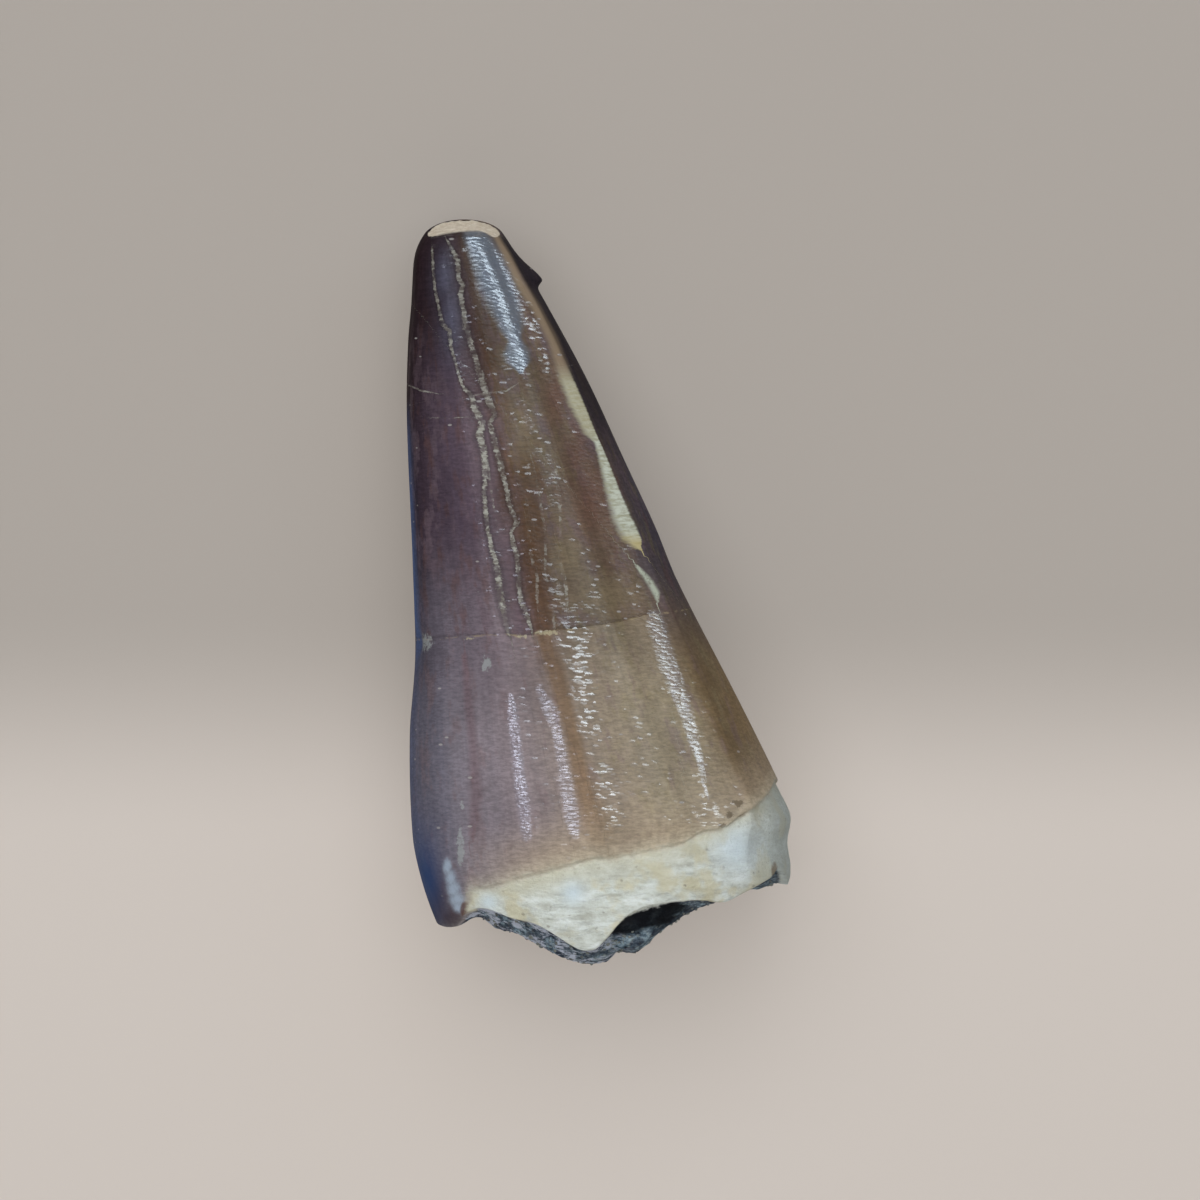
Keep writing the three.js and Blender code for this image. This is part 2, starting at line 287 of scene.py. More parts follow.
# %% The rough face of the break
broken_face = curve_through([
    (-13.5, -25.2), (-10.3, -25.4), (-8.6, -26.9), (-6.5, -27.6), (-4.4, -28.7), (-2, -29.7),
    (-0.9, -29.9), (0.4, -29.6), (1.4, -28.9), (3.1, -28.8), (4.6, -27.5), (7, -25.9),
    (10.1, -24.9), (12, -24.5), (13.4, -24.1), (14.5, -22.2),
])
CREST_Z = 15
LOWER_BREAK_Y = -23.5
BREAK_EDGE_WIDTH = 3.4
BREAK_LUMPS = [(5.2, 1.2), (2.3, 0.6), (1.3, 0.25)]
CREST_LUMPS = 0.25
FINE_BREAK_LUMPS = [(0.75, 0.14), (0.42, 0.08)]
COARSE_SLICE = 7.3
FINE_SLICE = 2.7


def break_y(x, z):
    """How far down the broken face reaches under each point of the root."""
    fall = 1 - smooth_step(0, CREST_Z, z)
    share = CREST_LUMPS + (1 - CREST_LUMPS) * fall
    y = broken_face(x) + (LOWER_BREAK_Y - broken_face(x)) * fall
    y = y + share * sum(h * lumps(x / size, z / size, COARSE_SLICE) for size, h in BREAK_LUMPS)
    y = y + sum(h * lumps(x / size, z / size, FINE_SLICE) for size, h in FINE_BREAK_LUMPS)
    return np.maximum(y, -TIP_Y)


# %% The worn facet at the tip
FACET = {"x": -10.95, "z": 7.2, "y": 29.3, "slope": 0.32, "doming": 0.06, "roughness": 0.06}
HALVINGS = 40


def facet_y(x, z):
    """The height of the worn facet."""
    tilted = FACET["y"] - FACET["slope"] * (z - FACET["z"])
    return tilted - FACET["doming"] * (x - FACET["x"]) ** 2


def facet_edge_y(angle):
    """Where the outside meets the worn facet, found by halving."""
    low = np.full(angle.shape, float(SHOULDER_Y))
    high = np.full(angle.shape, ROUNDED_TIP_Y)
    for _ in range(HALVINGS):
        y = (low + high) / 2
        p = wall_point(angle, y)
        under = y < facet_y(p[..., 0], p[..., 2])
        low = np.where(under, y, low)
        high = np.where(under, high, y)
    return low


# %% [markdown]
# ## One closed skin
# Rings of points run from the middle of the broken face, over its edge, up the
# outside and over the facet at the tip. Joining ring to ring leaves no seam to close.
# Whatever would reach below the floor is worn flat, which is the spot it rests on.

# %% Rings of points
COLUMNS = 240
BREAK_RINGS = 64
ROOT_ROWS = 44
LEDGE_ROWS = 4
CROWN_ROWS = 216
TIP_ROWS_FROM = 22
TIP_ROWS = 56
TIP_CROWDING = 1.5
FACET_RINGS = 16
FACET_LUMPS_PER_MM = 3
SHORTEST_ROOT = 0.7
ROOT_MIDDLE_Y = -24.0

angles = np.arange(COLUMNS) * 360 / COLUMNS
root_edge = wall_point(angles, broken_edge(angles))
facet_edge = wall_point(angles, facet_edge_y(angles))
crown_from = np.maximum(enamel_edge(angles), broken_edge(angles) + SHORTEST_ROOT)
root_middle = section_at(ROOT_MIDDLE_Y)
rings = []
inward = []
for r in range(1, BREAK_RINGS):
    share = r / BREAK_RINGS
    x = root_middle["x"] + (root_edge[:, 0] - root_middle["x"]) * share
    z = root_middle["z"] + (root_edge[:, 2] - root_middle["z"]) * share
    away = np.hypot(root_edge[:, 0] - x, root_edge[:, 2] - z)
    blend = smooth_step(0, BREAK_EDGE_WIDTH, away)
    y = root_edge[:, 1] + (break_y(x, z) - root_edge[:, 1]) * blend
    rings.append(np.stack([x, y, z], -1))
    inward.append(away)
wall_starts = len(rings)


def add_rows(count, low, high, crowding=1.0):
    """Adds rings up the outside between two heights for every column, closer at the upper end."""
    for r in range(count):
        share = 1 - (1 - r / count) ** crowding
        rings.append(wall_point(angles, low + (high - low) * share))


add_rows(ROOT_ROWS, root_edge[:, 1], crown_from)
add_rows(LEDGE_ROWS, crown_from, crown_from + LEDGE_RISE)
tip_rows_from = np.full(COLUMNS, float(TIP_ROWS_FROM))
add_rows(CROWN_ROWS, crown_from + LEDGE_RISE, tip_rows_from)
add_rows(TIP_ROWS, tip_rows_from, facet_edge[:, 1], TIP_CROWDING)
rings.append(facet_edge)
wall_ends = len(rings)
facet_middle = facet_edge.mean(0)
facet_in = []
for r in range(1, FACET_RINGS):
    share = 1 - r / FACET_RINGS
    x = facet_middle[0] + (facet_edge[:, 0] - facet_middle[0]) * share
    z = facet_middle[2] + (facet_edge[:, 2] - facet_middle[2]) * share
    rough = FACET["roughness"] * lumps(FACET_LUMPS_PER_MM * x, FACET_LUMPS_PER_MM * z, 1.0)
    rings.append(np.stack([x, facet_y(x, z) + rough, z], -1))
    facet_in.append(np.hypot(facet_edge[:, 0] - x, facet_edge[:, 2] - z))
print("rings:", len(rings), "columns:", COLUMNS)

# %% Faces between the rings
grid = np.array(rings)
break_middle = (root_middle["x"], root_middle["z"])
centre_of_break = [break_middle[0], float(break_y(*break_middle)), break_middle[1]]
centre_of_facet = [facet_middle[0], float(facet_y(*facet_middle[[0, 2]])), facet_middle[2]]
points = np.vstack([grid.reshape(-1, 3), centre_of_break, centre_of_facet])
points[:, 2] = np.maximum(points[:, 2], 0)
first, last = len(points) - 2, len(points) - 1
top = (len(rings) - 1) * COLUMNS
faces = []
for c in range(COLUMNS):
    n = (c + 1) % COLUMNS
    faces.append((first, c, n))
    faces.append((top + c, last, top + n))
    for r in range(len(rings) - 1):
        a, b = r * COLUMNS, (r + 1) * COLUMNS
        faces.append((a + c, b + c, b + n, a + n))
print("points:", len(points), "faces:", len(faces))

# %% The tooth's mesh
tooth_mesh = bpy.data.meshes.new("mosasaur_tooth")
tooth_mesh.from_pydata((points * MM).tolist(), [], faces)
tooth_mesh.shade_smooth()
tooth = bpy.data.objects.new("mosasaur_tooth", tooth_mesh)
bpy.context.scene.collection.objects.link(tooth)

# %% [markdown]
# ## What each point knows about itself
# Colour and roughness follow the tooth's own lines: how far a point is from the
# enamel's edge, the break, the worn facet or a crack. Each of these is stored on the
# mesh as a distance, not as a finished mask. A distance changes evenly from point to
# point, so the material can cut it off as sharply as a real crack is sharp.

# %% Store a value for every point
ring_of = np.concatenate([np.repeat(np.arange(len(rings)), COLUMNS), [0, len(rings) - 1]])
angle_of = np.concatenate([np.tile(angles, len(rings)), [0.0, 0.0]])
x_of, y_of = points[:, :2].T


def store(name, values):
    """Keeps one number or one vector for each point of the tooth."""
    values = np.asarray(values, float)
    kind = "FLOAT" if values.ndim == 1 else "FLOAT_VECTOR"
    layer = tooth_mesh.attributes.new(name, kind, "POINT")
    layer.data.foreach_set("value" if values.ndim == 1 else "vector", values.ravel())


# %% Distances from the tooth's own lines
INNERMOST = 0.2
CRESCENT_MIDDLE = (476, 230)
CRESCENT_BOWS = (0.045, 0.3)
on_break = ring_of < wall_starts
on_facet = ring_of >= wall_ends
break_depth = np.array(inward).ravel()
from_break = y_of - broken_edge(angle_of)
from_break[: len(break_depth)] = -break_depth
from_break[first] = -break_depth[:COLUMNS].max() - INNERMOST
facet_gap = y_of - np.interp(angle_of, angles, facet_edge[:, 1], period=360)
facet_depth = np.array(facet_in).ravel()
facet_gap[wall_ends * COLUMNS:len(points) - 2] = facet_depth
facet_gap[last] = facet_depth[-COLUMNS:].max() + INNERMOST
section = section_at(y_of)
across = (x_of - section["x"]) / np.maximum((right_edge(y_of) - left_edge(y_of)) / 2, 1e-3)
store("from_break", from_break)
store("facet_gap", facet_gap)
store("enamel_gap", y_of - enamel_edge(angle_of))
store("across", np.clip(across / 2 + 0.5, 0, 1))
crescent_x, crescent_y = bench(*CRESCENT_MIDDLE)
crescent_bow = np.where(x_of < crescent_x, *CRESCENT_BOWS)
store("crescent_gap", y_of - (crescent_y - crescent_bow * (x_of - crescent_x) ** 2))
print("on the break:", int(on_break.sum()), "on the facet:", int(on_facet.sum()))

# %% Coordinates that run along the growth of the enamel
ENAMEL_GRAIN_RADIUS = 9.0
radians = np.radians(angle_of)
store("grain", np.stack([
    ENAMEL_GRAIN_RADIUS * np.cos(radians), ENAMEL_GRAIN_RADIUS * np.sin(radians), y_of,
], -1))
# The band round the left side where a blue reflection is painted into the colour.
LEFT_SIDE, LEFT_SPREAD = 173.0, 11.0
store("facing", np.sin(radians))
store("reflection_band", bell(angle_of, LEFT_SIDE, LEFT_SPREAD))

# %% [markdown]
# ## Cracks
# The crown dried and split long before it was cleaned: two long pale cracks run from
# the tip to the middle, fainter ones beside them, and one crosses the whole crown.
# Each is a list of picture points with a width. A point of the tooth stores how many
# half-widths it is from the crack, with a sign for its side, so 0 is the middle. The
# picture shows nothing of the back, so every mark ends at the sides.

# %% How far a point is from a crack, in half-widths
FAR_FROM_CRACK = 40.0
FRONT_FACING = -0.05
on_front = (np.sin(radians) > FRONT_FACING) & ~on_break


def crack_gap(path):
    """Signed distance to a path of (pixel x, pixel y, pixels wide), in half-widths of it."""
    knots = np.array([(*bench(px, py), wide * MM_PER_PIXEL / 2) for px, py, wide in path])
    best = np.full(len(points), np.inf)
    gap = np.full(len(points), FAR_FROM_CRACK)
    for a, b in zip(knots[:-1], knots[1:]):
        run = b[:2] - a[:2]
        dx, dy = x_of - a[0], y_of - a[1]
        t = np.clip((dx * run[0] + dy * run[1]) / (run @ run), 0, 1)
        away = np.hypot(dx - t * run[0], dy - t * run[1])
        side = np.sign(dx * run[1] - dy * run[0])
        nearer = away < best
        best = np.where(nearer, away, best)
        gap = np.where(nearer, side * away / (a[2] + t * (b[2] - a[2])), gap)
    return np.where(on_front, np.clip(gap, -FAR_FROM_CRACK, FAR_FROM_CRACK), FAR_FROM_CRACK)

# %% Cracks, the worn cutting edge and bands along the growth
LINES = {
    # the two long cracks, and the faint ones beside them
    "left_crack": [
        (432, 248, 2), (433, 266, 3), (435, 289, 3), (439, 308, 3), (443, 325, 4), (450, 332, 4),
        (451, 346, 4), (455, 360, 3), (459, 374, 3), (463, 387, 3), (472, 397, 5), (476, 411, 7),
        (483, 424, 7), (480, 436, 7), (484, 450, 7), (486, 466, 6), (486, 481, 5), (485, 495, 4),
        (487, 515, 5), (489, 533, 4), (493, 550, 5), (498, 567, 6), (500, 584, 7), (503, 604, 7),
        (507, 624, 5), (510, 634, 3),
    ],
    "middle_crack": [
        (447, 240, 2), (453, 251, 4), (458, 263, 5), (459, 279, 5), (463, 285, 5), (461, 296, 5),
        (464, 312, 5), (467, 331, 6), (472, 346, 6), (478, 366, 6), (484, 387, 7), (490, 404, 7),
        (496, 416, 4), (490, 423, 4), (495, 442, 6), (499, 457, 6), (503, 472, 6), (507, 488, 5),
        (510, 505, 5), (518, 524, 4), (512, 531, 3), (514, 545, 5), (518, 557, 5), (519, 572, 5),
        (520, 586, 5), (522, 602, 5), (527, 613, 5), (533, 630, 3),
    ],
    "faint_crack": [
        (526, 520, 1), (529, 532, 4), (531, 553, 4), (538, 578, 4), (538, 599, 3), (539, 612, 1),
    ],
    "right_crack": [
        (530, 452, 1), (536, 475, 3), (546, 536, 3), (546, 576, 3), (553, 595, 4), (555, 634, 3),
    ],
    "branch_crack": [(486, 449, 4), (491, 485, 3), (495, 511, 2)],
    "scuff_line": [(560, 558, 3), (566, 585, 4), (568, 606, 2)],
    "second_scuff": [(556, 472, 3), (560, 500, 4), (561, 536, 2)],
    # the one that crosses the crown, and fine ones across it
    "cross_crack": [
        (408, 640, 3), (446, 638, 2), (473, 636, 2), (507, 634, 3), (524, 636, 4), (553, 631, 4),
        (572, 630, 3), (591, 626, 2), (620, 622, 3), (645, 615, 2), (664, 613, 2), (690, 609, 2),
    ],
    "high_hairline": [(409, 385, 1.5), (422, 391, 2), (437, 394, 1)],
    "low_hairline": [(432, 418, 1), (450, 419, 1.5), (467, 418, 1)],
    "mid_hairline": [(475, 396, 1.5), (490, 394, 2), (507, 392, 2), (519, 384, 1)],
    "edge_hairline": [(541, 371, 1), (551, 368, 2), (570, 366, 1.5)],
    # the worn cutting edge and a scratch under it
    "worn_edge": [
        (496, 236, 5), (506, 254, 8), (518, 280, 9), (536, 308, 9), (553, 341, 10),
        (565, 376, 12), (576, 402, 13), (589, 430, 10), (597, 442, 5), (602, 456, 7),
        (608, 475, 10), (615, 498, 13), (622, 518, 16), (630, 534, 16), (637, 545, 11),
        (640, 549, 3),
    ],
    "edge_scratch": [(636, 566, 3), (642, 573, 5), (650, 583, 7), (656, 594, 7), (657, 601, 3)],
    # bands of colour along the growth
    "amber_band": [
        (528, 470, 30), (536, 560, 34), (546, 640, 22), (556, 668, 22), (566, 702, 20),
        (575, 735, 20), (584, 775, 26), (600, 825, 36),
    ],
    "brown_streak": [(466, 655, 6), (470, 700, 10), (475, 745, 10), (478, 792, 14), (474, 830, 8)],
}
for name, path in LINES.items():
    store(name, crack_gap(path))
print("lines:", len(LINES))

# %% How far a point is above the crack that crosses the crown
line_x, line_y = zip(*(bench(*pixel) for pixel in (
    (408, 640), (507, 634), (524, 636), (553, 631), (591, 626), (620, 622), (645, 615), (690, 609),
)))
store("cross_gap", y_of - np.interp(x_of, line_x, line_y))

# %% Where the polish is left, in strips and in scattered cells
def nearest_gap(paths):
    """Distance to the nearest of several paths, in half-widths of it."""
    return np.minimum.reduce([np.abs(crack_gap(path)) for path in paths])


store("polish_gap", nearest_gap([
    [(475, 232, 20), (484, 252, 24), (495, 280, 28), (506, 306, 26), (512, 328, 20), (515, 340, 11),
     (517, 354, 22), (520, 364, 18), (521, 372, 5)],
    [(655, 618, 14), (662, 645, 14), (670, 671, 14), (680, 697, 12), (687, 716, 10), (692, 738, 9),
     (698, 755, 6), (706, 798, 3)],
    [(512, 694, 4), (514, 710, 9), (518, 745, 9), (523, 795, 11), (528, 832, 10)],
    [(540, 688, 6), (549, 705, 12), (557, 726, 8), (566, 776, 10), (573, 818, 12), (576, 832, 6)],
]))
store("sparkle_gap", nearest_gap([
    [(498, 246, 6), (507, 268, 9), (522, 300, 14), (534, 330, 14), (545, 368, 8)],
    [(577, 636, 40), (582, 660, 24), (586, 690, 20), (592, 726, 24), (596, 738, 10)],
    [(601, 772, 20), (606, 800, 34), (612, 826, 20)],
    [(548, 574, 8), (556, 596, 18), (566, 612, 18), (590, 604, 20), (600, 590, 10)],
    [(522, 404, 10), (534, 430, 14), (548, 470, 14), (556, 512, 10)],
    [(700, 800, 16), (712, 822, 24)],
]))

# %% [markdown]
# ## Stains, chips and painted light that belong to one spot
# The enamel has reddish, amber and olive spots, a pitted corner where the cross crack
# starts and a dark lobe at the lower left, with pale chips above it and a painted
# bluish-white highlight and a painted blue reflection beside it. The root has brown
# stains, and the notch under it is painted nearly black as shade. Each is a few soft round patches.

# %% Soft round patches
def patches(spots, shown=on_front):
    """The strongest of several (pixel x, pixel y, radius x, radius y) patches, 1 at their middles."""
    total = np.zeros(len(points))
    for px, py, rx, ry in spots:
        x, y = bench(px, py)
        away = np.hypot((x_of - x) / (rx * MM_PER_PIXEL), (y_of - y) / (ry * MM_PER_PIXEL))
        total = np.maximum(total, np.exp(-(away**2)))
    return np.where(shown, total, 0)


SPOTS = {
    "brown_stain": [(773, 868, 5, 12), (737, 809, 10, 8), (722, 818, 8, 5)],
    "lavender_and_veil_tip": [(444, 278, 11, 26), (451, 322, 11, 40)],
    "wedge_highlight": [
        (449, 864, 5, 10), (452, 875, 6, 10), (455, 886, 8, 10), (458, 896, 9, 9),
        (460, 904, 7, 6),
    ],
    "brown_chip": [(735, 801, 10, 6), (727, 812, 8, 6), (720, 822, 7, 4)],
    "dark_lobe": [(436, 905, 18, 34), (450, 915, 20, 14)],
    "lobe_stain": [(467, 906, 6, 9)],
    "white_patch": [(736, 846, 22, 24), (490, 898, 10, 10), (573, 888, 12, 12)],
    "red_patch": [(592, 500, 22, 44), (556, 398, 10, 28), (577, 452, 12, 26)],
    "amber_patch": [(505, 492, 8, 30), (537, 556, 13, 44), (488, 350, 12, 40), (522, 470, 9, 40)],
    "olive_patch": [(610, 598, 36, 24), (524, 430, 12, 34), (570, 560, 20, 20)],
    "crumbs": [(522, 636, 13, 4), (548, 632, 20, 5), (470, 638, 9, 3)],
}
for name, spots in SPOTS.items():
    store(name, patches(spots))
CORNER_CHIP_SIDE = (158, 15)
REFLECTION_CORNER_SIDE = (164, 26)
corner_chip = patches([(430, 642, 17, 15)]) * bell(angle_of, *CORNER_CHIP_SIDE)
small_chips = patches([(487, 663, 8, 13), (463, 802, 5, 7), (462, 845, 6, 30)])
store("pale_chip", np.maximum(corner_chip, small_chips))
# A painted blue reflection on the lower left corner.
store("blue_corner_reflection", patches([(426, 880, 18, 50)]) * bell(angle_of, *REFLECTION_CORNER_SIDE))
# The notch under the root, painted nearly black as shade; the grit keeps out of it.
store("shaded_notch", patches(
    [(646, 912, 32, 12), (624, 922, 20, 8), (664, 904, 22, 8)], on_break | on_front,
))
print("attributes:", len(tooth_mesh.attributes))

# %% [markdown]
# ## Relief in the enamel, the root and the filling
# Close to, the enamel has faint ribs that run to the tip, the root is chalky and the
# filling is gritty. That is a rule that follows the surface, so Geometry Nodes do it:
# every point moves along its own normal by noise that depends on where it is.

# %% A few words for building node trees
def add(tree, kind, **inputs):
    """A new node, with values for its inputs by name."""
    made = tree.nodes.new(kind)
    for name, value in inputs.items():
        made.inputs[name.replace("_", " ")].default_value = value
    return made


def plug(tree, value, socket):
    """Links a socket, or sets a plain number."""
    if isinstance(value, (int, float)):
        socket.default_value = value
    else:
        tree.links.new(value, socket)


def wire(tree, *pairs):
    """Links each (output, input) pair."""
    for source, target in pairs:
        tree.links.new(source, target)


def maths(tree, operation, *values):
    """A Math node of one operation; gives its output."""
    made = tree.nodes.new("ShaderNodeMath")
    made.operation = operation
    for value, socket in zip(values, made.inputs):
        plug(tree, value, socket)
    return made.outputs[0]


def stretched(tree, vector, scale):
    """A vector scaled by a different amount along each axis."""
    made = tree.nodes.new("ShaderNodeVectorMath")
    made.operation = "MULTIPLY"
    tree.links.new(vector, made.inputs[0])
    made.inputs[1].default_value = scale
    return made.outputs[0]


def noise(tree, vector, scale, detail=2.0, roughness=0.5, distortion=0.0):
    """The value of a Noise Texture, about 0.5 on average."""
    made = add(tree, "ShaderNodeTexNoise", Scale=scale, Detail=detail, Roughness=roughness)
    made.inputs["Distortion"].default_value = distortion
    tree.links.new(vector, made.inputs["Vector"])
    return made.outputs[0]


def between(tree, value, low, high, start=0.0, end=1.0):
    """Maps a value smoothly from low..high to start..end."""
    made = tree.nodes.new("ShaderNodeMapRange")
    made.interpolation_type = "SMOOTHSTEP"
    for socket, number in zip(made.inputs[1:5], (low, high, start, end)):
        socket.default_value = number
    tree.links.new(value, made.inputs[0])
    return made.outputs[0]


# %% The relief tree
def named(tree, name, kind="FLOAT"):
    """A stored value inside a Geometry Nodes tree."""
    made = tree.nodes.new("GeometryNodeInputNamedAttribute")
    made.data_type = kind
    made.inputs["Name"].default_value = name
    return made.outputs["Attribute"]


def new_geometry_tree(name, inputs):
    """A Geometry Nodes tree with a geometry socket at each end and named number inputs."""
    tree = bpy.data.node_groups.new(name, "GeometryNodeTree")
    tree.interface.new_socket("Geometry", in_out="INPUT", socket_type="NodeSocketGeometry")
    for label, value in inputs.items():
        socket = tree.interface.new_socket(label, in_out="INPUT", socket_type="NodeSocketFloat")
        socket.default_value = value
    tree.interface.new_socket("Geometry", in_out="OUTPUT", socket_type="NodeSocketGeometry")
    return tree, tree.nodes.new("NodeGroupInput"), tree.nodes.new("NodeGroupOutput")


RELIEF_HEIGHTS = {"Rib height": 0.05 * MM, "Root height": 0.14 * MM, "Grit height": 0.25 * MM}
PER_MM = (1 / MM, 1 / MM, 1 / MM)

relief, relief_in, relief_out = new_geometry_tree("surface_relief", RELIEF_HEIGHTS)
grain = named(relief, "grain", "FLOAT_VECTOR")
place = stretched(relief, relief.nodes.new("GeometryNodeInputPosition").outputs[0], PER_MM)
place_parts = relief.nodes.new("ShaderNodeSeparateXYZ")
relief.links.new(place, place_parts.inputs[0])
ribs = noise(relief, stretched(relief, grain, (1.1, 1.1, 0.045)), 1.0, 3.0, 0.6)
chalk = noise(relief, stretched(relief, place, (1.0, 1.5, 1.0)), 1.1, 5.0, 0.62)
grit = noise(relief, place, 1.9, 4.0, 0.7)
enamel_share = maths(relief, "MULTIPLY",
                     between(relief, named(relief, "enamel_gap"), 0.0, 0.4),
                     between(relief, named(relief, "facet_gap"), 0.0, -1.0))
break_share = between(relief, named(relief, "from_break"), 0.0, -1.5)
root_share = maths(relief, "SUBTRACT", 1.0, between(relief, named(relief, "enamel_gap"), -0.3, 0.2))
off_floor = between(relief, place_parts.outputs[2], 0.0, 1.0)
print("relief nodes so far:", len(relief.nodes))

# %% Join the three reliefs and move the points
def share_of(value, share, height):
    """Noise about its middle, times a share and one of the tree's heights."""
    swung = maths(relief, "MULTIPLY", maths(relief, "SUBTRACT", value, 0.5), share)
    return maths(relief, "MULTIPLY", swung, relief_in.outputs[height])


push = maths(relief, "ADD", share_of(ribs, enamel_share, "Rib height"),
             share_of(chalk, root_share, "Root height"))
push = maths(relief, "ADD", push, share_of(grit, break_share, "Grit height"))
push = maths(relief, "MULTIPLY", push, off_floor)
along_normal = relief.nodes.new("ShaderNodeVectorMath")
along_normal.operation = "SCALE"
move = relief.nodes.new("GeometryNodeSetPosition")
wire(
    relief,
    (relief.nodes.new("GeometryNodeInputNormal").outputs[0], along_normal.inputs[0]),
    (push, along_normal.inputs["Scale"]),
    (relief_in.outputs["Geometry"], move.inputs["Geometry"]),
    (along_normal.outputs[0], move.inputs["Offset"]),
)

# %% [markdown]
# ## The material
# Enamel, dentine and filling share one skin, so one material mixes three finishes by
# the stored distances. Splitting the faces between three materials would draw the
# enamel's edge as a staircase of faces.

# %% Start the material
fossil = bpy.data.materials.new("fossil")
fossil.use_nodes = True
shade = fossil.node_tree
shade.nodes.clear()
surface = add(shade, "ShaderNodeBsdfPrincipled")
output = shade.nodes.new("ShaderNodeOutputMaterial")
link = shade.links.new
link(surface.outputs[0], output.inputs[0])


def known(name, vector=False):
    """A stored value of the tooth inside the material."""
    made = shade.nodes.new("ShaderNodeAttribute")
    made.attribute_name = name
    return made.outputs["Vector" if vector else "Fac"]


def colour(*screen):
    """A colour as a screen shows it, 0 to 255, turned to the linear light that Blender wants."""
    shares = [value / 255 for value in screen]
    return (*(((v + 0.055) / 1.055) ** 2.4 if v > 0.04 else v / 12.92 for v in shares), 1.0)


def blended(share, low, high, mode="MIX"):
    """Mixes two colours by a share of the second."""
    made = shade.nodes.new("ShaderNodeMix")
    made.data_type = "RGBA"
    made.blend_type = mode
    for value, socket in ((share, made.inputs[0]), (low, made.inputs[6]), (high, made.inputs[7])):
        if isinstance(value, (int, float, tuple)):
            socket.default_value = value
        else:
            link(value, socket)
    return made.outputs[2]


def painted(base, coats):
    """Lays coats of (share, colour) over a base colour, one after another."""
    for share, tint in coats:
        base = blended(share, base, tint)
    return base


def banded(value, stops):
    """A colour ramp from (position, colour) stops."""
    made = shade.nodes.new("ShaderNodeValToRGB")
    bands = made.color_ramp.elements
    for spot, (at, tint) in enumerate(stops):
        band = bands[spot] if spot < 2 else bands.new(at)
        band.position = at
        band.color = tint
    link(value, made.inputs[0])
    return made.outputs[0]


# %% [markdown]
# ## Short words for the material
# Nearly every line below multiplies, adds or fades a value, so these steps get short
# names. Coordinates are in millimetres. Those along the growth wrap round the crown,
# so a streak keeps to the surface and never cuts through it.

# %% Short names for sums, fades and noises in the material
times, plus, minus, larger = (
    partial(maths, shade, kind) for kind in ("MULTIPLY", "ADD", "SUBTRACT", "MAXIMUM")
)
unsigned = partial(maths, shade, "ABSOLUTE")
rest_of = partial(minus, 1.0)
fade = partial(between, shade)
place_mm = stretched(shade, shade.nodes.new("ShaderNodeTexCoord").outputs["Object"], PER_MM)
enamel_grain = known("grain", vector=True)
even_noise = partial(noise, shade, place_mm)


def drawn_noise(vector, scales, *settings):
    """Noise with its own scale along each axis, which draws it out into streaks."""
    return noise(shade, stretched(shade, vector, scales), *settings)


def swing(value, width):
    """A noise moved to about zero and widened, for pushing a border about."""
    return times(minus(value, 0.5), width)


def cells(vector, scale=1.0, randomness=1.0):
    """Voronoi cells: the distance to each middle, and three random numbers per cell."""
    made = add(shade, "ShaderNodeTexVoronoi", Scale=scale, Randomness=randomness)
    link(vector, made.inputs["Vector"])
    parts = shade.nodes.new("ShaderNodeSeparateColor")
    link(made.outputs["Color"], parts.inputs[0])
    return made.outputs["Distance"], parts.outputs


# %% Values that several finishes use
MARKS_END = (-0.02, 0.05)
split_place = shade.nodes.new("ShaderNodeSeparateXYZ")
link(place_mm, split_place.inputs[0])
up_tooth, off_table = split_place.outputs[1:3]
across_crown = known("across")
above_enamel_edge = known("enamel_gap")
above_crack = known("cross_gap")
front = fade(known("facing"), *MARKS_END)
broad_streaks = drawn_noise(enamel_grain, (0.55, 0.55, 0.035), 1.0, 4.0, 0.6)
fine_streaks = drawn_noise(enamel_grain, (3.2, 3.2, 0.16), 1.0, 4.0, 0.65)
clouds = even_noise(0.16, 4.0, 0.6)
flecks = even_noise(2.2, 4.0, 0.75)
speckle = even_noise(3.0, 3.0, 0.7)

# %% [markdown]
# ## Enamel colour
# Across the crown the enamel goes from purple-brown at the left to amber in the
# middle and olive at the right. Below the cross crack it is paler, and near the root
# it turns to tan. Each zone is a band over the stored place across the crown, pushed
# about by streaks so that no border is straight. Mauve, olive and reddish patches lie
# over the zones as noise, and the few that the eye looks for are placed.

# %% Zones across the crown
zone = plus(across_crown, swing(broad_streaks, 0.14))
# The darkest stops at both edges of the upper crown are painted shade at the rims, and the blue-grey at
# the left edge of the lower crown is a painted reflection.
upper_crown = banded(zone, [
    (0.0, colour(40, 24, 32)), (1.0, colour(64, 60, 76)), (0.1, colour(66, 54, 64)),
    (0.22, colour(87, 74, 87)), (0.36, colour(100, 84, 90)), (0.5, colour(96, 76, 58)),
    (0.62, colour(104, 92, 78)), (0.82, colour(108, 90, 74)), (0.92, colour(80, 72, 78)),
])
lower_crown = banded(zone, [
    (0.0, colour(92, 92, 108)), (1.0, colour(132, 112, 84)), (0.1, colour(122, 117, 127)),
    (0.3, colour(140, 128, 132)), (0.5, colour(144, 129, 114)), (0.7, colour(158, 146, 124)),
    (0.86, colour(144, 130, 107)), (0.91, colour(122, 103, 76)),
])
right_side = fade(across_crown, 0.83, 0.9)
step_down = fade(above_crack, 0.08, -0.08, 0.0, 0.5)
slow_change = fade(above_crack, 0.0, -9.0, 0.0, 0.5)
below_crack = plus(
    times(plus(step_down, slow_change), rest_of(right_side)),
    times(fade(above_crack, 4.0, -6.0), right_side),
)
left_lift = times(fade(above_crack, 10.0, 0.0, 0.0, 0.5), fade(across_crown, 0.38, 0.3))
enamel_tint = blended(larger(below_crack, left_lift), upper_crown, lower_crown)
print("shader nodes so far:", len(shade.nodes))

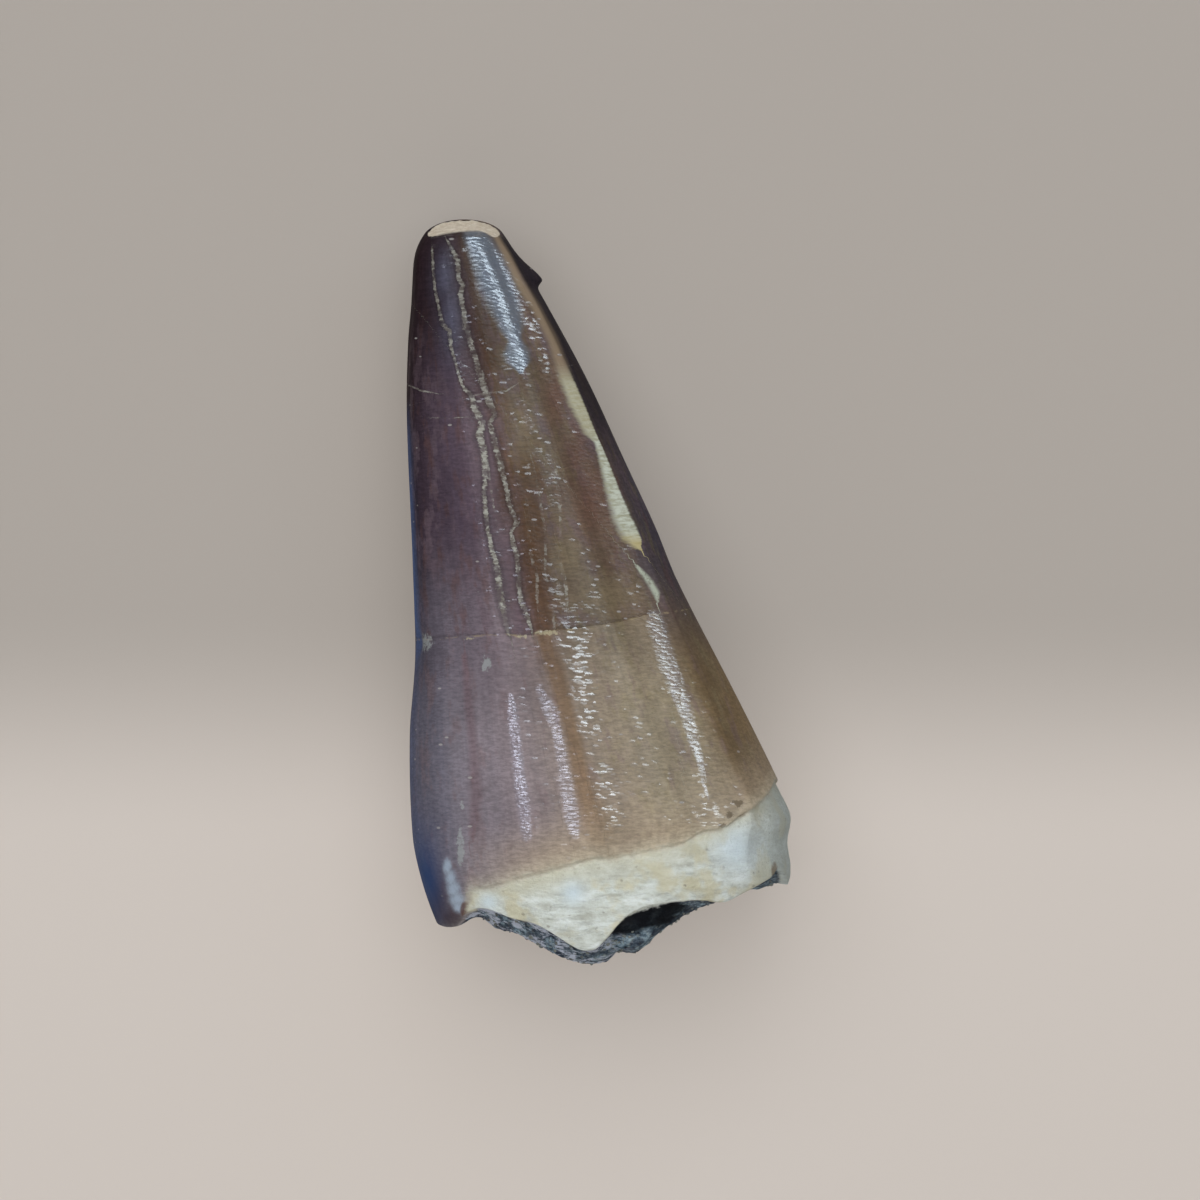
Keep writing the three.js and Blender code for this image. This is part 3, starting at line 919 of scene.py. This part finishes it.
# %% Mauve, olive, red and amber over the zones
mauve_noise = drawn_noise(enamel_grain, (0.7, 0.7, 0.34), 1.0, 4.0, 0.68)
olive_noise = drawn_noise(enamel_grain, (0.9, 0.9, 0.4), 1.0, 4.0, 0.68)
red_noise = drawn_noise(enamel_grain, (0.8, 0.8, 0.25), 1.3, 3.0, 0.65)
mauve = times(fade(above_crack, 0.0, 0.3), fade(mauve_noise, 0.48, 0.62))
olive = times(fade(across_crown, 0.45, 0.6), fade(olive_noise, 0.5, 0.66))
amber = fade(unsigned(plus(known("amber_band"), swing(broad_streaks, 1.6))), 1.25, 0.35)
olive_tint = blended(below_crack, colour(108, 98, 72), colour(142, 130, 100))
red_tint = blended(below_crack, colour(94, 66, 58), colour(124, 104, 106))
amber_tint = blended(below_crack, colour(82, 56, 32), colour(126, 97, 60))
enamel_tint = painted(enamel_tint, [
    (times(mauve, 0.5), colour(104, 88, 96)),
    (times(olive, 0.45), olive_tint),
    (fade(red_noise, 0.52, 0.68, 0.0, 0.4), red_tint),
    (times(times(amber, front), 0.6), amber_tint),
    (times(known("amber_patch"), 0.6), colour(82, 56, 30)),
    (times(known("red_patch"), 0.8), colour(104, 76, 64)),
    (times(known("olive_patch"), 0.6), colour(125, 111, 86)),
])

# %% Darker at the tip, tan at the root, a painted blue reflection along the left side
tip_share = times(fade(up_tooth, 10.0, 26.5, 0.0, 0.88), fade(across_crown, 0.2, 0.8, 1.0, 0.12))
# Painted shade: the right side of the upper crown, turned away from the light, is darkened.
painted_side_shade = times(fade(across_crown, 0.88, 0.95), fade(up_tooth, 9.0, 15.0))
# Painted reflection: a blue tint along the left side stands in for cool light mirrored there.
reflection_top = plus(up_tooth, swing(clouds, 8.0))
painted_blue_reflection = times(known("reflection_band"), fade(reflection_top, 15.5, 10.5))
painted_blue_reflection = times(painted_blue_reflection, fade(broad_streaks, 0.35, 0.6, 0.45, 1.0))
painted_blue_reflection = times(painted_blue_reflection, fade(above_crack, -4.0, 4.0, 0.35, 1.0))
tan_share = times(fade(above_enamel_edge, 5.5, 0.0, 0.0, 0.8), fade(across_crown, 0.05, 0.4))
cream_share = times(fade(above_enamel_edge, 1.6, 0.0, 0.0, 0.6), broad_streaks)
enamel_tint = painted(enamel_tint, [
    (tip_share, colour(36, 22, 26)),
    # The lavender patch at the tip is partly the enamel's own colour and partly a painted veil of
    # highlight.
    (times(known("lavender_and_veil_tip"), 0.75), colour(88, 88, 106)),
    (times(painted_side_shade, 0.8), colour(36, 28, 34)),
    (painted_blue_reflection, colour(74, 100, 150)),
    (times(fade(unsigned(known("brown_streak")), 1.6, 0.2, 0.0, 0.4), front), colour(112, 84, 88)),
    (tan_share, colour(172, 156, 134)),
    (cream_share, colour(212, 206, 184)),
])

# %% Lighter and darker streaks, clouds and grain
fine_grain = drawn_noise(place_mm, (1.0, 3.2, 1.0), 1.4, 3.0, 0.75)
light = times(
    times(fade(fine_streaks, 0.25, 0.75, 0.92, 1.08), fade(clouds, 0.25, 0.75, 0.86, 1.14)),
    fade(fine_grain, 0.3, 0.7, 0.81, 1.19),
)
light_vector = shade.nodes.new("ShaderNodeCombineXYZ")
for socket in light_vector.inputs:
    link(light, socket)
enamel_tint = blended(1.0, enamel_tint, light_vector.outputs[0], "MULTIPLY")

# %% [markdown]
# ## Crack fillings
# A crack is pale where fine sediment filled it, in beads a quarter of a millimetre
# long. Its edges are ragged and it comes and goes along its length, which noise gives:
# one noise nudges the distance, another changes its colour bead by bead.

# %% Pale lines along the cracks
ragged = swing(even_noise(4.6, 2.0, 0.65), 2.6)
beads = drawn_noise(place_mm, (1.1, 3.4, 1.1), 1.0, 2.0, 0.6)
patchy = fade(even_noise(1.7, 3.0, 0.6), 0.46, 0.56, 0.1, 1.0)
thinned = fade(even_noise(1.1, 3.0, 0.6), 0.4, 0.52, 0.25, 1.0)
BROKEN_UP_UNDER = 0.6
CRACK_STRENGTHS = {
    "left_crack": 0.85, "middle_crack": 0.8, "faint_crack": 0.4, "right_crack": 0.4,
    "branch_crack": 0.5, "scuff_line": 0.55, "second_scuff": 0.45, "high_hairline": 0.6,
    "low_hairline": 0.45, "mid_hairline": 0.65, "edge_hairline": 0.5,
}


def line_share(name, strength):
    """Where a stored crack shows, with ragged edges; a weak one is broken up."""
    line = times(fade(unsigned(plus(known(name), ragged)), 1.1, 0.6), strength)
    return times(line, patchy) if strength < BROKEN_UP_UNDER else line


def crack_shade_share(name):
    """The borders of a stored crack, where shade is painted."""
    return fade(unsigned(known(name)), 2.6, 1.0)


# Painted shade darkens both borders of the two long cracks.
painted_crack_shade = times(larger(crack_shade_share("left_crack"), crack_shade_share("middle_crack")), front)
cracks = reduce(larger, [line_share(*crack) for crack in CRACK_STRENGTHS.items()])
cracks = times(times(cracks, times(thinned, front)), fade(up_tooth, 13.5, 18.0, 1.0, 0.72))
bead_tint = blended(fade(beads, 0.38, 0.62), colour(116, 110, 102), colour(178, 178, 168))
enamel_tint = painted(enamel_tint, [(times(painted_crack_shade, 0.4), colour(42, 32, 32)), (cracks, bead_tint)])
print("shader nodes so far:", len(shade.nodes))

# %% The cross crack: a fine lip with painted shade along it and pale crumbs under it
cross_line = times(times(line_share("cross_crack", 1.0), front), fade(beads, 0.46, 0.62))
lip = times(fade(above_crack, 0.0, 0.1), fade(above_crack, 0.32, 0.12))
lip = times(times(lip, thinned), rest_of(right_side))
enamel_tint = painted(enamel_tint, [
    (times(cross_line, 0.5), colour(168, 152, 116)),
    # Painted shade: the lip's step is darkened in the colour.
    (times(lip, 0.25), colour(52, 42, 40)),
])

# %% The worn cutting edge, feathered on its left side
worn_gap = known("worn_edge")
feather = drawn_noise(place_mm, (0.9, 3.8, 0.9), 1.0, 3.0, 0.7)
edge_gap = plus(worn_gap, times(swing(feather, 1.6), fade(worn_gap, -0.9, 0.4, 0.25, 1.0)))
sharp_worn = times(fade(edge_gap, 1.7, 0.4), fade(edge_gap, -1.2, -0.85))
soft_worn = fade(unsigned(worn_gap), 1.7, 0.2, 0.0, 0.75)
near_tip = fade(up_tooth, 16.0, 18.5)
worn = times(blended(near_tip, sharp_worn, soft_worn), front)
worn_tint = blended(fade(feather, 0.36, 0.62), colour(170, 170, 148), colour(204, 210, 196))
worn_tint = painted(worn_tint, [
    (fade(up_tooth, 4.8, 3.4, 0.0, 0.8), colour(188, 172, 116)),
    (fade(up_tooth, 11.5, 13.0, 0.0, 0.6), colour(176, 168, 136)),
    (near_tip, colour(156, 137, 112)),
])
enamel_tint = blended(worn, enamel_tint, worn_tint)

# %% Chips, pits and the corner at the lower left, with a painted highlight and a painted blue reflection there
chips = fade(times(known("pale_chip"), flecks), 0.3, 0.42)
scratch = fade(unsigned(known("edge_scratch")), 1.5, 0.2, 0.0, 0.9)
scratch = times(times(scratch, fade(flecks, 0.3, 0.55, 0.3, 1.0)), front)
crumbs = fade(times(known("crumbs"), speckle), 0.34, 0.46)
brown_chips = fade(times(known("brown_chip"), flecks), 0.3, 0.4)
pit_distance, pit_numbers = cells(stretched(shade, place_mm, (0.42, 1.0, 0.42)))
pits = times(fade(pit_distance, 0.12, 0.07), fade(pit_numbers[0], 0.55, 0.6))
# A painted bluish-white highlight on the lower left, beside the dark lobe.
wedge_highlight = times(known("wedge_highlight"), plus(flecks, 0.5))
enamel_tint = painted(enamel_tint, [
    (times(chips, 0.65), colour(164, 170, 170)),
    (scratch, colour(190, 198, 180)),
    (times(crumbs, 0.6), colour(190, 182, 150)),
    (times(brown_chips, 0.7), colour(92, 78, 58)),
    (times(pits, 0.7), colour(176, 172, 170)),
    (times(known("dark_lobe"), 0.8), colour(66, 52, 54)),
    (times(known("blue_corner_reflection"), 0.9), colour(36, 68, 118)),
    (fade(wedge_highlight, 0.15, 1.0, 0.0, 0.9), colour(172, 188, 206)),
    (fade(known("lobe_stain"), 0.3, 0.6, 0.0, 0.8), colour(96, 66, 56)),
])

# %% [markdown]
# ## Root, tip facet and filling
# The root is cream dentine, yellower just under the enamel and stained brown low on
# the right; its right side is greyed with painted shade. The facet at the tip shows the
# same dentine inside a thin dark rim. The filling is blue-grey mudstone with pale and
# dark grit. It is flaky at the left of the lip that shows in the picture, darkened with
# painted shade towards the rim of the break, and painted nearly black as shade in the notch at the
# right.

# %% Dentine colour
root_mottle = drawn_noise(place_mm, (0.45, 1.1, 0.5), 1.0, 5.0, 0.68)
root_flakes = drawn_noise(place_mm, (0.6, 2.6, 0.8), 1.0, 5.0, 0.72, 0.6)
blotch = even_noise(0.32, 3.0, 0.6)
root_pits = times(fade(cells(place_mm, 1.1)[0], 0.2, 0.1), fade(root_mottle, 0.54, 0.44))
yellow_at = plus(above_enamel_edge, swing(clouds, 3.0))
stained = fade(times(known("brown_stain"), plus(speckle, 0.5)), 0.45, 0.8)
dentine_tint = painted(banded(root_mottle, [
    (0.34, colour(192, 195, 184)), (0.66, colour(240, 247, 244)), (0.5, colour(220, 226, 218)),
]), [
    (times(fade(root_flakes, 0.5, 0.36), 0.4), colour(160, 164, 158)),
    (times(fade(blotch, 0.5, 0.66), 0.55), colour(212, 202, 160)),
    (times(root_pits, 0.55), colour(120, 112, 98)),
    (fade(yellow_at, -2.2, 0.1, 0.0, 0.6), colour(212, 208, 182)),
    (times(known("white_patch"), 0.8), colour(222, 238, 246)),
    # Painted shade: the right side of the root, turned away from the light, is greyed.
    (fade(across_crown, 0.84, 1.0, 0.0, 0.6), colour(170, 184, 186)),
    (times(stained, 0.7), colour(118, 98, 76)),
])
facet_tint = blended(fade(flecks, 0.3, 0.7), colour(216, 202, 180), colour(240, 230, 214))
print("shader nodes so far:", len(shade.nodes))

# %% Filling colour
_, grain_numbers = cells(place_mm, 4.6)
flakes = drawn_noise(place_mm, (0.6, 1.3, 1.1), 1.1, 5.0, 0.72)
upper_lip = fade(off_table, 10.0, 15.0)
left_flakes = times(fade(across_crown, 0.62, 0.46), fade(flakes, 0.475, 0.58))
lip_shade = drawn_noise(place_mm, (0.7, 0.9, 0.4), 1.0, 3.0, 0.6)
filling_tint = painted(banded(even_noise(1.3, 5.0, 0.75), [
    (0.36, colour(28, 36, 46)), (0.66, colour(178, 200, 212)), (0.5, colour(100, 120, 134)),
]), [
    (fade(grain_numbers[0], 0.8, 0.88, 0.0, 0.4), colour(160, 166, 156)),
    (fade(grain_numbers[1], 0.85, 0.9, 0.0, 0.6), colour(26, 26, 30)),
    # Painted shade: the filling darkens towards the rim of the break, where it lies recessed under the
    # root's edge.
    (fade(known("from_break"), -1.5, -0.5, 0.0, 0.6), colour(44, 38, 46)),
    (times(fade(lip_shade, 0.57, 0.45, 0.0, 0.65), upper_lip), colour(48, 52, 66)),
    (times(times(left_flakes, 0.85), upper_lip), colour(202, 210, 226)),
    # Painted shade: the notch is made nearly black.
    (times(fade(known("shaded_notch"), 0.15, 0.6, 0.0, 0.95), upper_lip), colour(12, 13, 17)),
])

# %% [markdown]
# ## Which finish shows where
# The stored distances, nudged by one wandering noise, say where enamel, dentine, facet
# and filling show. A faint tint under the strips of polish stands for the light that
# the wet-looking enamel spreads around each highlight.

# %% Mix the finishes
wander = swing(even_noise(0.9, 4.0, 0.65), 1.5)
enamel_here = fade(plus(above_enamel_edge, times(wander, 0.8)), -0.45, 0.55)
filling_here = fade(plus(known("from_break"), wander), -0.3, -0.75)
facet_here = times(
    fade(plus(known("facet_gap"), times(wander, 0.12)), 0.26, 0.36),
    fade(plus(known("crescent_gap"), times(wander, 0.15)), -0.12, 0.12),
)
glow_tint = blended(fade(up_tooth, 0.0, 10.0), colour(154, 152, 174), colour(106, 132, 158))
glow = times(fade(known("polish_gap"), 1.6, 0.6), fade(up_tooth, 0.0, 10.0, 0.14, 0.45))
tint = painted(dentine_tint, [
    (enamel_here, blended(glow, enamel_tint, glow_tint)),
    (facet_here, facet_tint),
    (filling_here, filling_tint),
])
link(tint, surface.inputs["Base Color"])

# %% [markdown]
# ## Gloss and fine relief
# The polish is left in four long strips on the crests of the flutes and in scattered
# cells beside them. Elsewhere handling has dulled it. A clear coat whose weight follows
# that gives the gloss. Fine wrinkles cross the enamel every quarter of a millimetre.
# Each is a tiny dome, so a highlight breaks into short dashes. Dentine and filling are
# dull. The enamel under the coat hardly mirrors at all, which keeps its dark colour.

# %% Where the polish is left
POLISH_ROUGHNESS = 0.22
POLISH_IOR = 1.55
ENAMEL_IOR = 1.12
BARE_ROUGHNESS = 0.8
WRINKLES_PER_MM = (2.0, 4.4, 2.0)

wrinkle_distance, wrinkle_numbers = cells(stretched(shade, place_mm, WRINKLES_PER_MM), 1.0, 0.9)
polish_noise = drawn_noise(enamel_grain, (0.7, 0.7, 0.4), 1.0, 3.0, 0.6)
polish_edge = plus(known("polish_gap"), swing(polish_noise, 1.2))
strips = times(fade(polish_edge, 1.7, 0.4), fade(wrinkle_numbers[0], 0.1, 0.7, 0.35, 1.0))
sparkle = times(fade(known("sparkle_gap"), 1.6, 0.5), fade(wrinkle_numbers[1], 0.55, 0.95))
mid_crown = times(fade(up_tooth, -3.4, -1.4), fade(up_tooth, 18.0, 16.0))
sparkle = times(sparkle, rest_of(times(mid_crown, 0.6)))
stray = fade(wrinkle_numbers[2], 0.94, 0.97, 0.04, 0.45)
off_sides = times(fade(across_crown, 0.06, 0.2), fade(across_crown, 0.97, 0.88))
bare = reduce(larger, [filling_here, facet_here, rest_of(enamel_here)])
dull = reduce(larger, [bare, cracks, worn, chips])
polish = times(times(reduce(larger, [strips, sparkle, stray]), off_sides), rest_of(dull))
enamel_rough = fade(polish_noise, 0.3, 0.7, 0.58, 0.72)
roughness = plus(times(enamel_rough, rest_of(bare)), times(bare, BARE_ROUGHNESS))
link(polish, surface.inputs["Coat Weight"])
link(roughness, surface.inputs["Roughness"])
surface.inputs["Coat Roughness"].default_value = POLISH_ROUGHNESS
surface.inputs["Coat IOR"].default_value = POLISH_IOR
surface.inputs["IOR"].default_value = ENAMEL_IOR

# %% Fine wrinkles, pits and grain as bump, in millimetres
RIB_HEIGHT = 0.01
DOME_HEIGHT = 0.01
COAT_DOME_HEIGHT = 0.048
PIT_DEPTH = 0.03
LIP_DEPTH = 0.04
CHALK_HEIGHT = 0.16
MOTTLE_HEIGHT = 0.1
BEAD_HEIGHT = 0.05


def bumped(height, socket):
    """Sends a height in millimetres to a normal input."""
    made = add(shade, "ShaderNodeBump", Strength=1.0, Distance=MM)
    link(height, made.inputs["Height"])
    link(made.outputs[0], surface.inputs[socket])


dome = times(wrinkle_distance, wrinkle_distance)
ribs_here = times(drawn_noise(enamel_grain, (4.5, 4.5, 0.4), 1.0, 3.0, 0.6), RIB_HEIGHT)
enamel_height = minus(ribs_here, times(dome, DOME_HEIGHT))
enamel_height = minus(minus(enamel_height, times(pits, PIT_DEPTH)), times(lip, LIP_DEPTH))
bare_height = plus(times(even_noise(3.2, 4.0, 0.7), CHALK_HEIGHT), times(root_mottle, MOTTLE_HEIGHT))
bare_height = times(bare_height, rest_of(times(facet_here, 0.7)))
fine_height = plus(times(enamel_height, rest_of(bare)), times(bare_height, bare))
bumped(plus(fine_height, times(times(cracks, beads), BEAD_HEIGHT)), "Normal")
bumped(minus(ribs_here, times(dome, COAT_DOME_HEIGHT)), "Coat Normal")
print("shader nodes:", len(shade.nodes))

# %% Finish the relief tree and apply it
wear = relief.nodes.new("GeometryNodeSetMaterial")
wear.inputs["Material"].default_value = fossil
real = relief.nodes.new("GeometryNodeRealizeInstances")
wire(
    relief,
    (move.outputs[0], real.inputs[0]),
    (real.outputs[0], wear.inputs["Geometry"]),
    (wear.outputs[0], relief_out.inputs[0]),
)


def apply_tree(owner, tree, sizes, name):
    """Runs a Geometry Nodes tree on an object and gives its result as a plain mesh."""
    step = owner.modifiers.new(tree.name, "NODES")
    step.node_group = tree
    for item in tree.interface.items_tree:
        if item.item_type == "SOCKET" and item.in_out == "INPUT" and item.name in sizes:
            step[item.identifier] = sizes[item.name]
    bpy.context.view_layer.update()
    ready = owner.evaluated_get(bpy.context.evaluated_depsgraph_get())
    mesh = bpy.data.meshes.new_from_object(ready)
    mesh.name = name
    owner.modifiers.remove(step)
    return mesh


tooth.data = apply_tree(tooth, relief, RELIEF_HEIGHTS, "mosasaur_tooth")
print("tooth triangles:", sum(len(p.vertices) - 2 for p in tooth.data.polygons))

# %% [markdown]
# ## Grit on the broken filling
# Single grains of sand and phosphate stand out of the broken filling. They repeat
# over a surface, so Geometry Nodes scatter one rough pebble over the break, each
# with its own size and turn, sunk by part of its height.

# %% One rough pebble
PEBBLE_ROUGHNESS = 0.22
PEBBLE_LUMPS_ACROSS = 3.1
PEBBLE_FLATNESS = 0.72
bpy.ops.mesh.primitive_ico_sphere_add(subdivisions=2, radius=0.5)
pebble = bpy.context.object
pebble.name = "pebble"
for corner in pebble.data.vertices:
    corner.co *= 1 + PEBBLE_ROUGHNESS * float(lumps(*(corner.co * PEBBLE_LUMPS_ACROSS)))
    corner.co.z *= PEBBLE_FLATNESS
pebble.hide_render = True

# %% The scattering tree
GRAINS = {"Grains per square metre": 900000.0, "Smallest": 0.12 * MM, "Largest": 0.42 * MM}

scatter, scatter_in, scatter_out = new_geometry_tree("grit_scatter", GRAINS)
fracture = scatter.nodes.new("GeometryNodeDistributePointsOnFaces")
fracture.inputs["Seed"].default_value = 7
clear_of_hollow = maths(scatter, "LESS_THAN", named(scatter, "shaded_notch"), 0.45)
on_filling = maths(scatter, "LESS_THAN", named(scatter, "from_break"), -0.9)
selected = maths(scatter, "MULTIPLY", on_filling, clear_of_hollow)
pebble_info = scatter.nodes.new("GeometryNodeObjectInfo")
pebble_info.inputs["Object"].default_value = pebble
grain_size = scatter.nodes.new("FunctionNodeRandomValue")
grain_size.inputs["Seed"].default_value = 11
grain_turn = scatter.nodes.new("FunctionNodeRandomValue")
grain_turn.data_type = "FLOAT_VECTOR"
grain_turn.inputs[1].default_value = (math.tau, math.tau, math.tau)
grain_turn.inputs["Seed"].default_value = 13
place_grains = scatter.nodes.new("GeometryNodeInstanceOnPoints")
real_grains = scatter.nodes.new("GeometryNodeRealizeInstances")
coat_grains = scatter.nodes.new("GeometryNodeSetMaterial")
wire(
    scatter,
    (scatter_in.outputs["Geometry"], fracture.inputs["Mesh"]),
    (scatter_in.outputs["Grains per square metre"], fracture.inputs["Density"]),
    (selected, fracture.inputs["Selection"]),
    (scatter_in.outputs["Smallest"], grain_size.inputs[2]),
    (scatter_in.outputs["Largest"], grain_size.inputs[3]),
    (fracture.outputs["Points"], place_grains.inputs["Points"]),
    (pebble_info.outputs["Geometry"], place_grains.inputs["Instance"]),
    (grain_size.outputs[1], place_grains.inputs["Scale"]),
    (grain_turn.outputs[0], place_grains.inputs["Rotation"]),
    (place_grains.outputs[0], real_grains.inputs[0]),
    (real_grains.outputs[0], coat_grains.inputs["Geometry"]),
    (coat_grains.outputs[0], scatter_out.inputs[0]),
)

# %% Grit material and the finished grains
grit_finish = bpy.data.materials.new("grit")
grit_finish.use_nodes = True
grit_tree = grit_finish.node_tree
grit_surface = grit_tree.nodes["Principled BSDF"]
grit_place = stretched(
    grit_tree, grit_tree.nodes.new("ShaderNodeTexCoord").outputs["Object"], PER_MM
)
grit_ramp = grit_tree.nodes.new("ShaderNodeValToRGB")
grit_bands = ((0.3, colour(40, 42, 42)), (0.75, colour(150, 156, 148)))
for band, (at, tint_here) in zip(grit_ramp.color_ramp.elements, grit_bands):
    band.position = at
    band.color = tint_here
grit_dull = between(grit_tree, noise(grit_tree, grit_place, 4.0, 2.0), 0.3, 0.7, 0.45, 0.85)
grit_bump = add(grit_tree, "ShaderNodeBump", Strength=0.6, Distance=0.1 * MM)
wire(
    grit_tree,
    (noise(grit_tree, grit_place, 1.6, 5.0, 0.75), grit_ramp.inputs[0]),
    (grit_ramp.outputs[0], grit_surface.inputs["Base Color"]),
    (grit_dull, grit_surface.inputs["Roughness"]),
    (noise(grit_tree, grit_place, 9.0, 3.0, 0.7), grit_bump.inputs["Height"]),
    (grit_bump.outputs[0], grit_surface.inputs["Normal"]),
)
coat_grains.inputs["Material"].default_value = grit_finish
grains_mesh = apply_tree(tooth, scatter, GRAINS, "break_grit")
break_grit = bpy.data.objects.new("break_grit", grains_mesh)
bpy.context.scene.collection.objects.link(break_grit)
bpy.data.objects.remove(pebble)
print("grit triangles:", sum(len(p.vertices) - 2 for p in grains_mesh.polygons))

# %% [markdown]
# ## Tell the frame what stands for what
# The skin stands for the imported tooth, and the grit rides along with it.

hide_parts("tooth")
for piece in (tooth, break_grit):
    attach(piece, "root")

# %% [markdown]
# ## Floor, light and camera
# The tooth lies on pale paper whose colour is painted lighter towards the root, a painted
# fall of light. The paper gives off a little light itself, so that shadows stay as soft as
# in the photograph. The camera looks straight down and shows the face that the photograph shows, tip
# upwards.

# %% Floor
FLOOR_HALF = 3.0
PAPER_ROUGHNESS = 0.9
PAPER_GLOW = 0.42
PAPER_DARKENING = 0.5
PAPER_LIGHT_FADE = (-0.021, -0.001)
BLACK = (0.0, 0.0, 0.0, 1.0)

floor_mesh = bpy.data.meshes.new("floor")
corners = [(x * FLOOR_HALF, y * FLOOR_HALF, 0) for x, y in ((-1, -1), (1, -1), (1, 1), (-1, 1))]
floor_mesh.from_pydata(corners, [], [(0, 1, 2, 3)])
floor = bpy.data.objects.new("floor", floor_mesh)
bpy.context.scene.collection.objects.link(floor)
paper = bpy.data.materials.new("floor_paper")
paper.use_nodes = True
paper_tree = paper.node_tree
paper_surface = paper_tree.nodes["Principled BSDF"]
paper_parts = paper_tree.nodes.new("ShaderNodeSeparateXYZ")
paper_ramp = paper_tree.nodes.new("ShaderNodeValToRGB")
# The paper's two tints are a painted fall of light, lighter towards the root.
painted_light_tints = (colour(214, 204, 195), colour(177, 168, 159))
for band, tint_here in zip(paper_ramp.color_ramp.elements, painted_light_tints):
    band.color = tint_here
paper_shade = paper_tree.nodes.new("ShaderNodeMix")
paper_shade.data_type = "RGBA"
paper_shade.inputs[0].default_value = PAPER_DARKENING
paper_shade.inputs[7].default_value = BLACK
wire(
    paper_tree,
    (paper_tree.nodes.new("ShaderNodeTexCoord").outputs["Object"], paper_parts.inputs[0]),
    (between(paper_tree, paper_parts.outputs[1], *PAPER_LIGHT_FADE), paper_ramp.inputs[0]),
    (paper_ramp.outputs[0], paper_shade.inputs[6]),
    (paper_ramp.outputs[0], paper_surface.inputs["Emission Color"]),
    (paper_shade.outputs[2], paper_surface.inputs["Base Color"]),
)
paper_surface.inputs["Roughness"].default_value = PAPER_ROUGHNESS
paper_surface.inputs["Emission Strength"].default_value = PAPER_GLOW
floor_mesh.materials.append(paper)

# %% [markdown]
# ## Light
# A wide soft sky and a weak fill light the colours. Three wide windows show only as
# gloss in the polish, each where the photograph has its highlights, so they don't
# wash out the dark enamel.

# %% Soft lights
AIM = Vector((0.0, 0.0, 0.015))
LIGHT_DISTANCE = 0.6


def soft_light(name, lean, size, power, tint, gloss_only=False):
    """A soft box, mirrored to the camera where the surface leans by these degrees to +X and +Y."""
    facing = Vector((*(math.tan(math.radians(degrees)) for degrees in lean), 1)).normalized()
    towards = 2 * facing.z * facing - Vector((0, 0, 1))
    data = bpy.data.lights.new(name, "AREA")
    data.shape = "RECTANGLE"
    data.size, data.size_y = size
    data.energy = power
    data.color = tint
    lamp = bpy.data.objects.new(name, data)
    lamp.location = AIM + towards * LIGHT_DISTANCE
    lamp.rotation_euler = (-towards).to_track_quat("-Z", "Y").to_euler()
    lamp.visible_diffuse = not gloss_only
    lamp.visible_glossy = gloss_only
    bpy.context.scene.collection.objects.link(lamp)


soft_light("sky", (-3, 8), (0.7, 0.7), 3.7, (0.98, 0.99, 1.0))
soft_light("front_fill", (0, -27), (0.6, 0.4), 0.7, (1.0, 0.97, 0.94))
soft_light("window", (14, 20), (0.72, 0.3), 9.0, (0.77, 0.9, 1.0), gloss_only=True)
soft_light("left_window", (-15, 9), (0.24, 0.24), 2.3, (0.77, 0.84, 1.0), gloss_only=True)
soft_light("far_window", (-10, -34), (0.5, 0.3), 1.5, (1.0, 0.98, 0.95), gloss_only=True)
SKY_TINT = (0.97, 0.98, 1.0, 1.0)
SKY_STRENGTH = 0.12
world = bpy.data.worlds.new("studio")
world.use_nodes = True
background = world.node_tree.nodes["Background"]
background.inputs[0].default_value = SKY_TINT
background.inputs[1].default_value = SKY_STRENGTH
bpy.context.scene.world = world
bpy.context.scene.view_settings.view_transform = "Standard"

# %% Camera
WIDEST_LEVEL = 10 * MM
CAMERA_ABOVE = 0.7
PICTURE_WIDTH = 1200 * MM_PER_PIXEL * MM
SENSOR = 36.0
camera_data = bpy.data.cameras.new("camera")
camera_data.sensor_width = SENSOR
camera_data.lens = SENSOR * CAMERA_ABOVE / PICTURE_WIDTH
camera = bpy.data.objects.new("camera", camera_data)
middle_x, middle_y = bench(600, 600)
camera.location = (middle_x * MM, middle_y * MM, WIDEST_LEVEL + CAMERA_ABOVE)
bpy.context.scene.collection.objects.link(camera)
bpy.context.scene.camera = camera
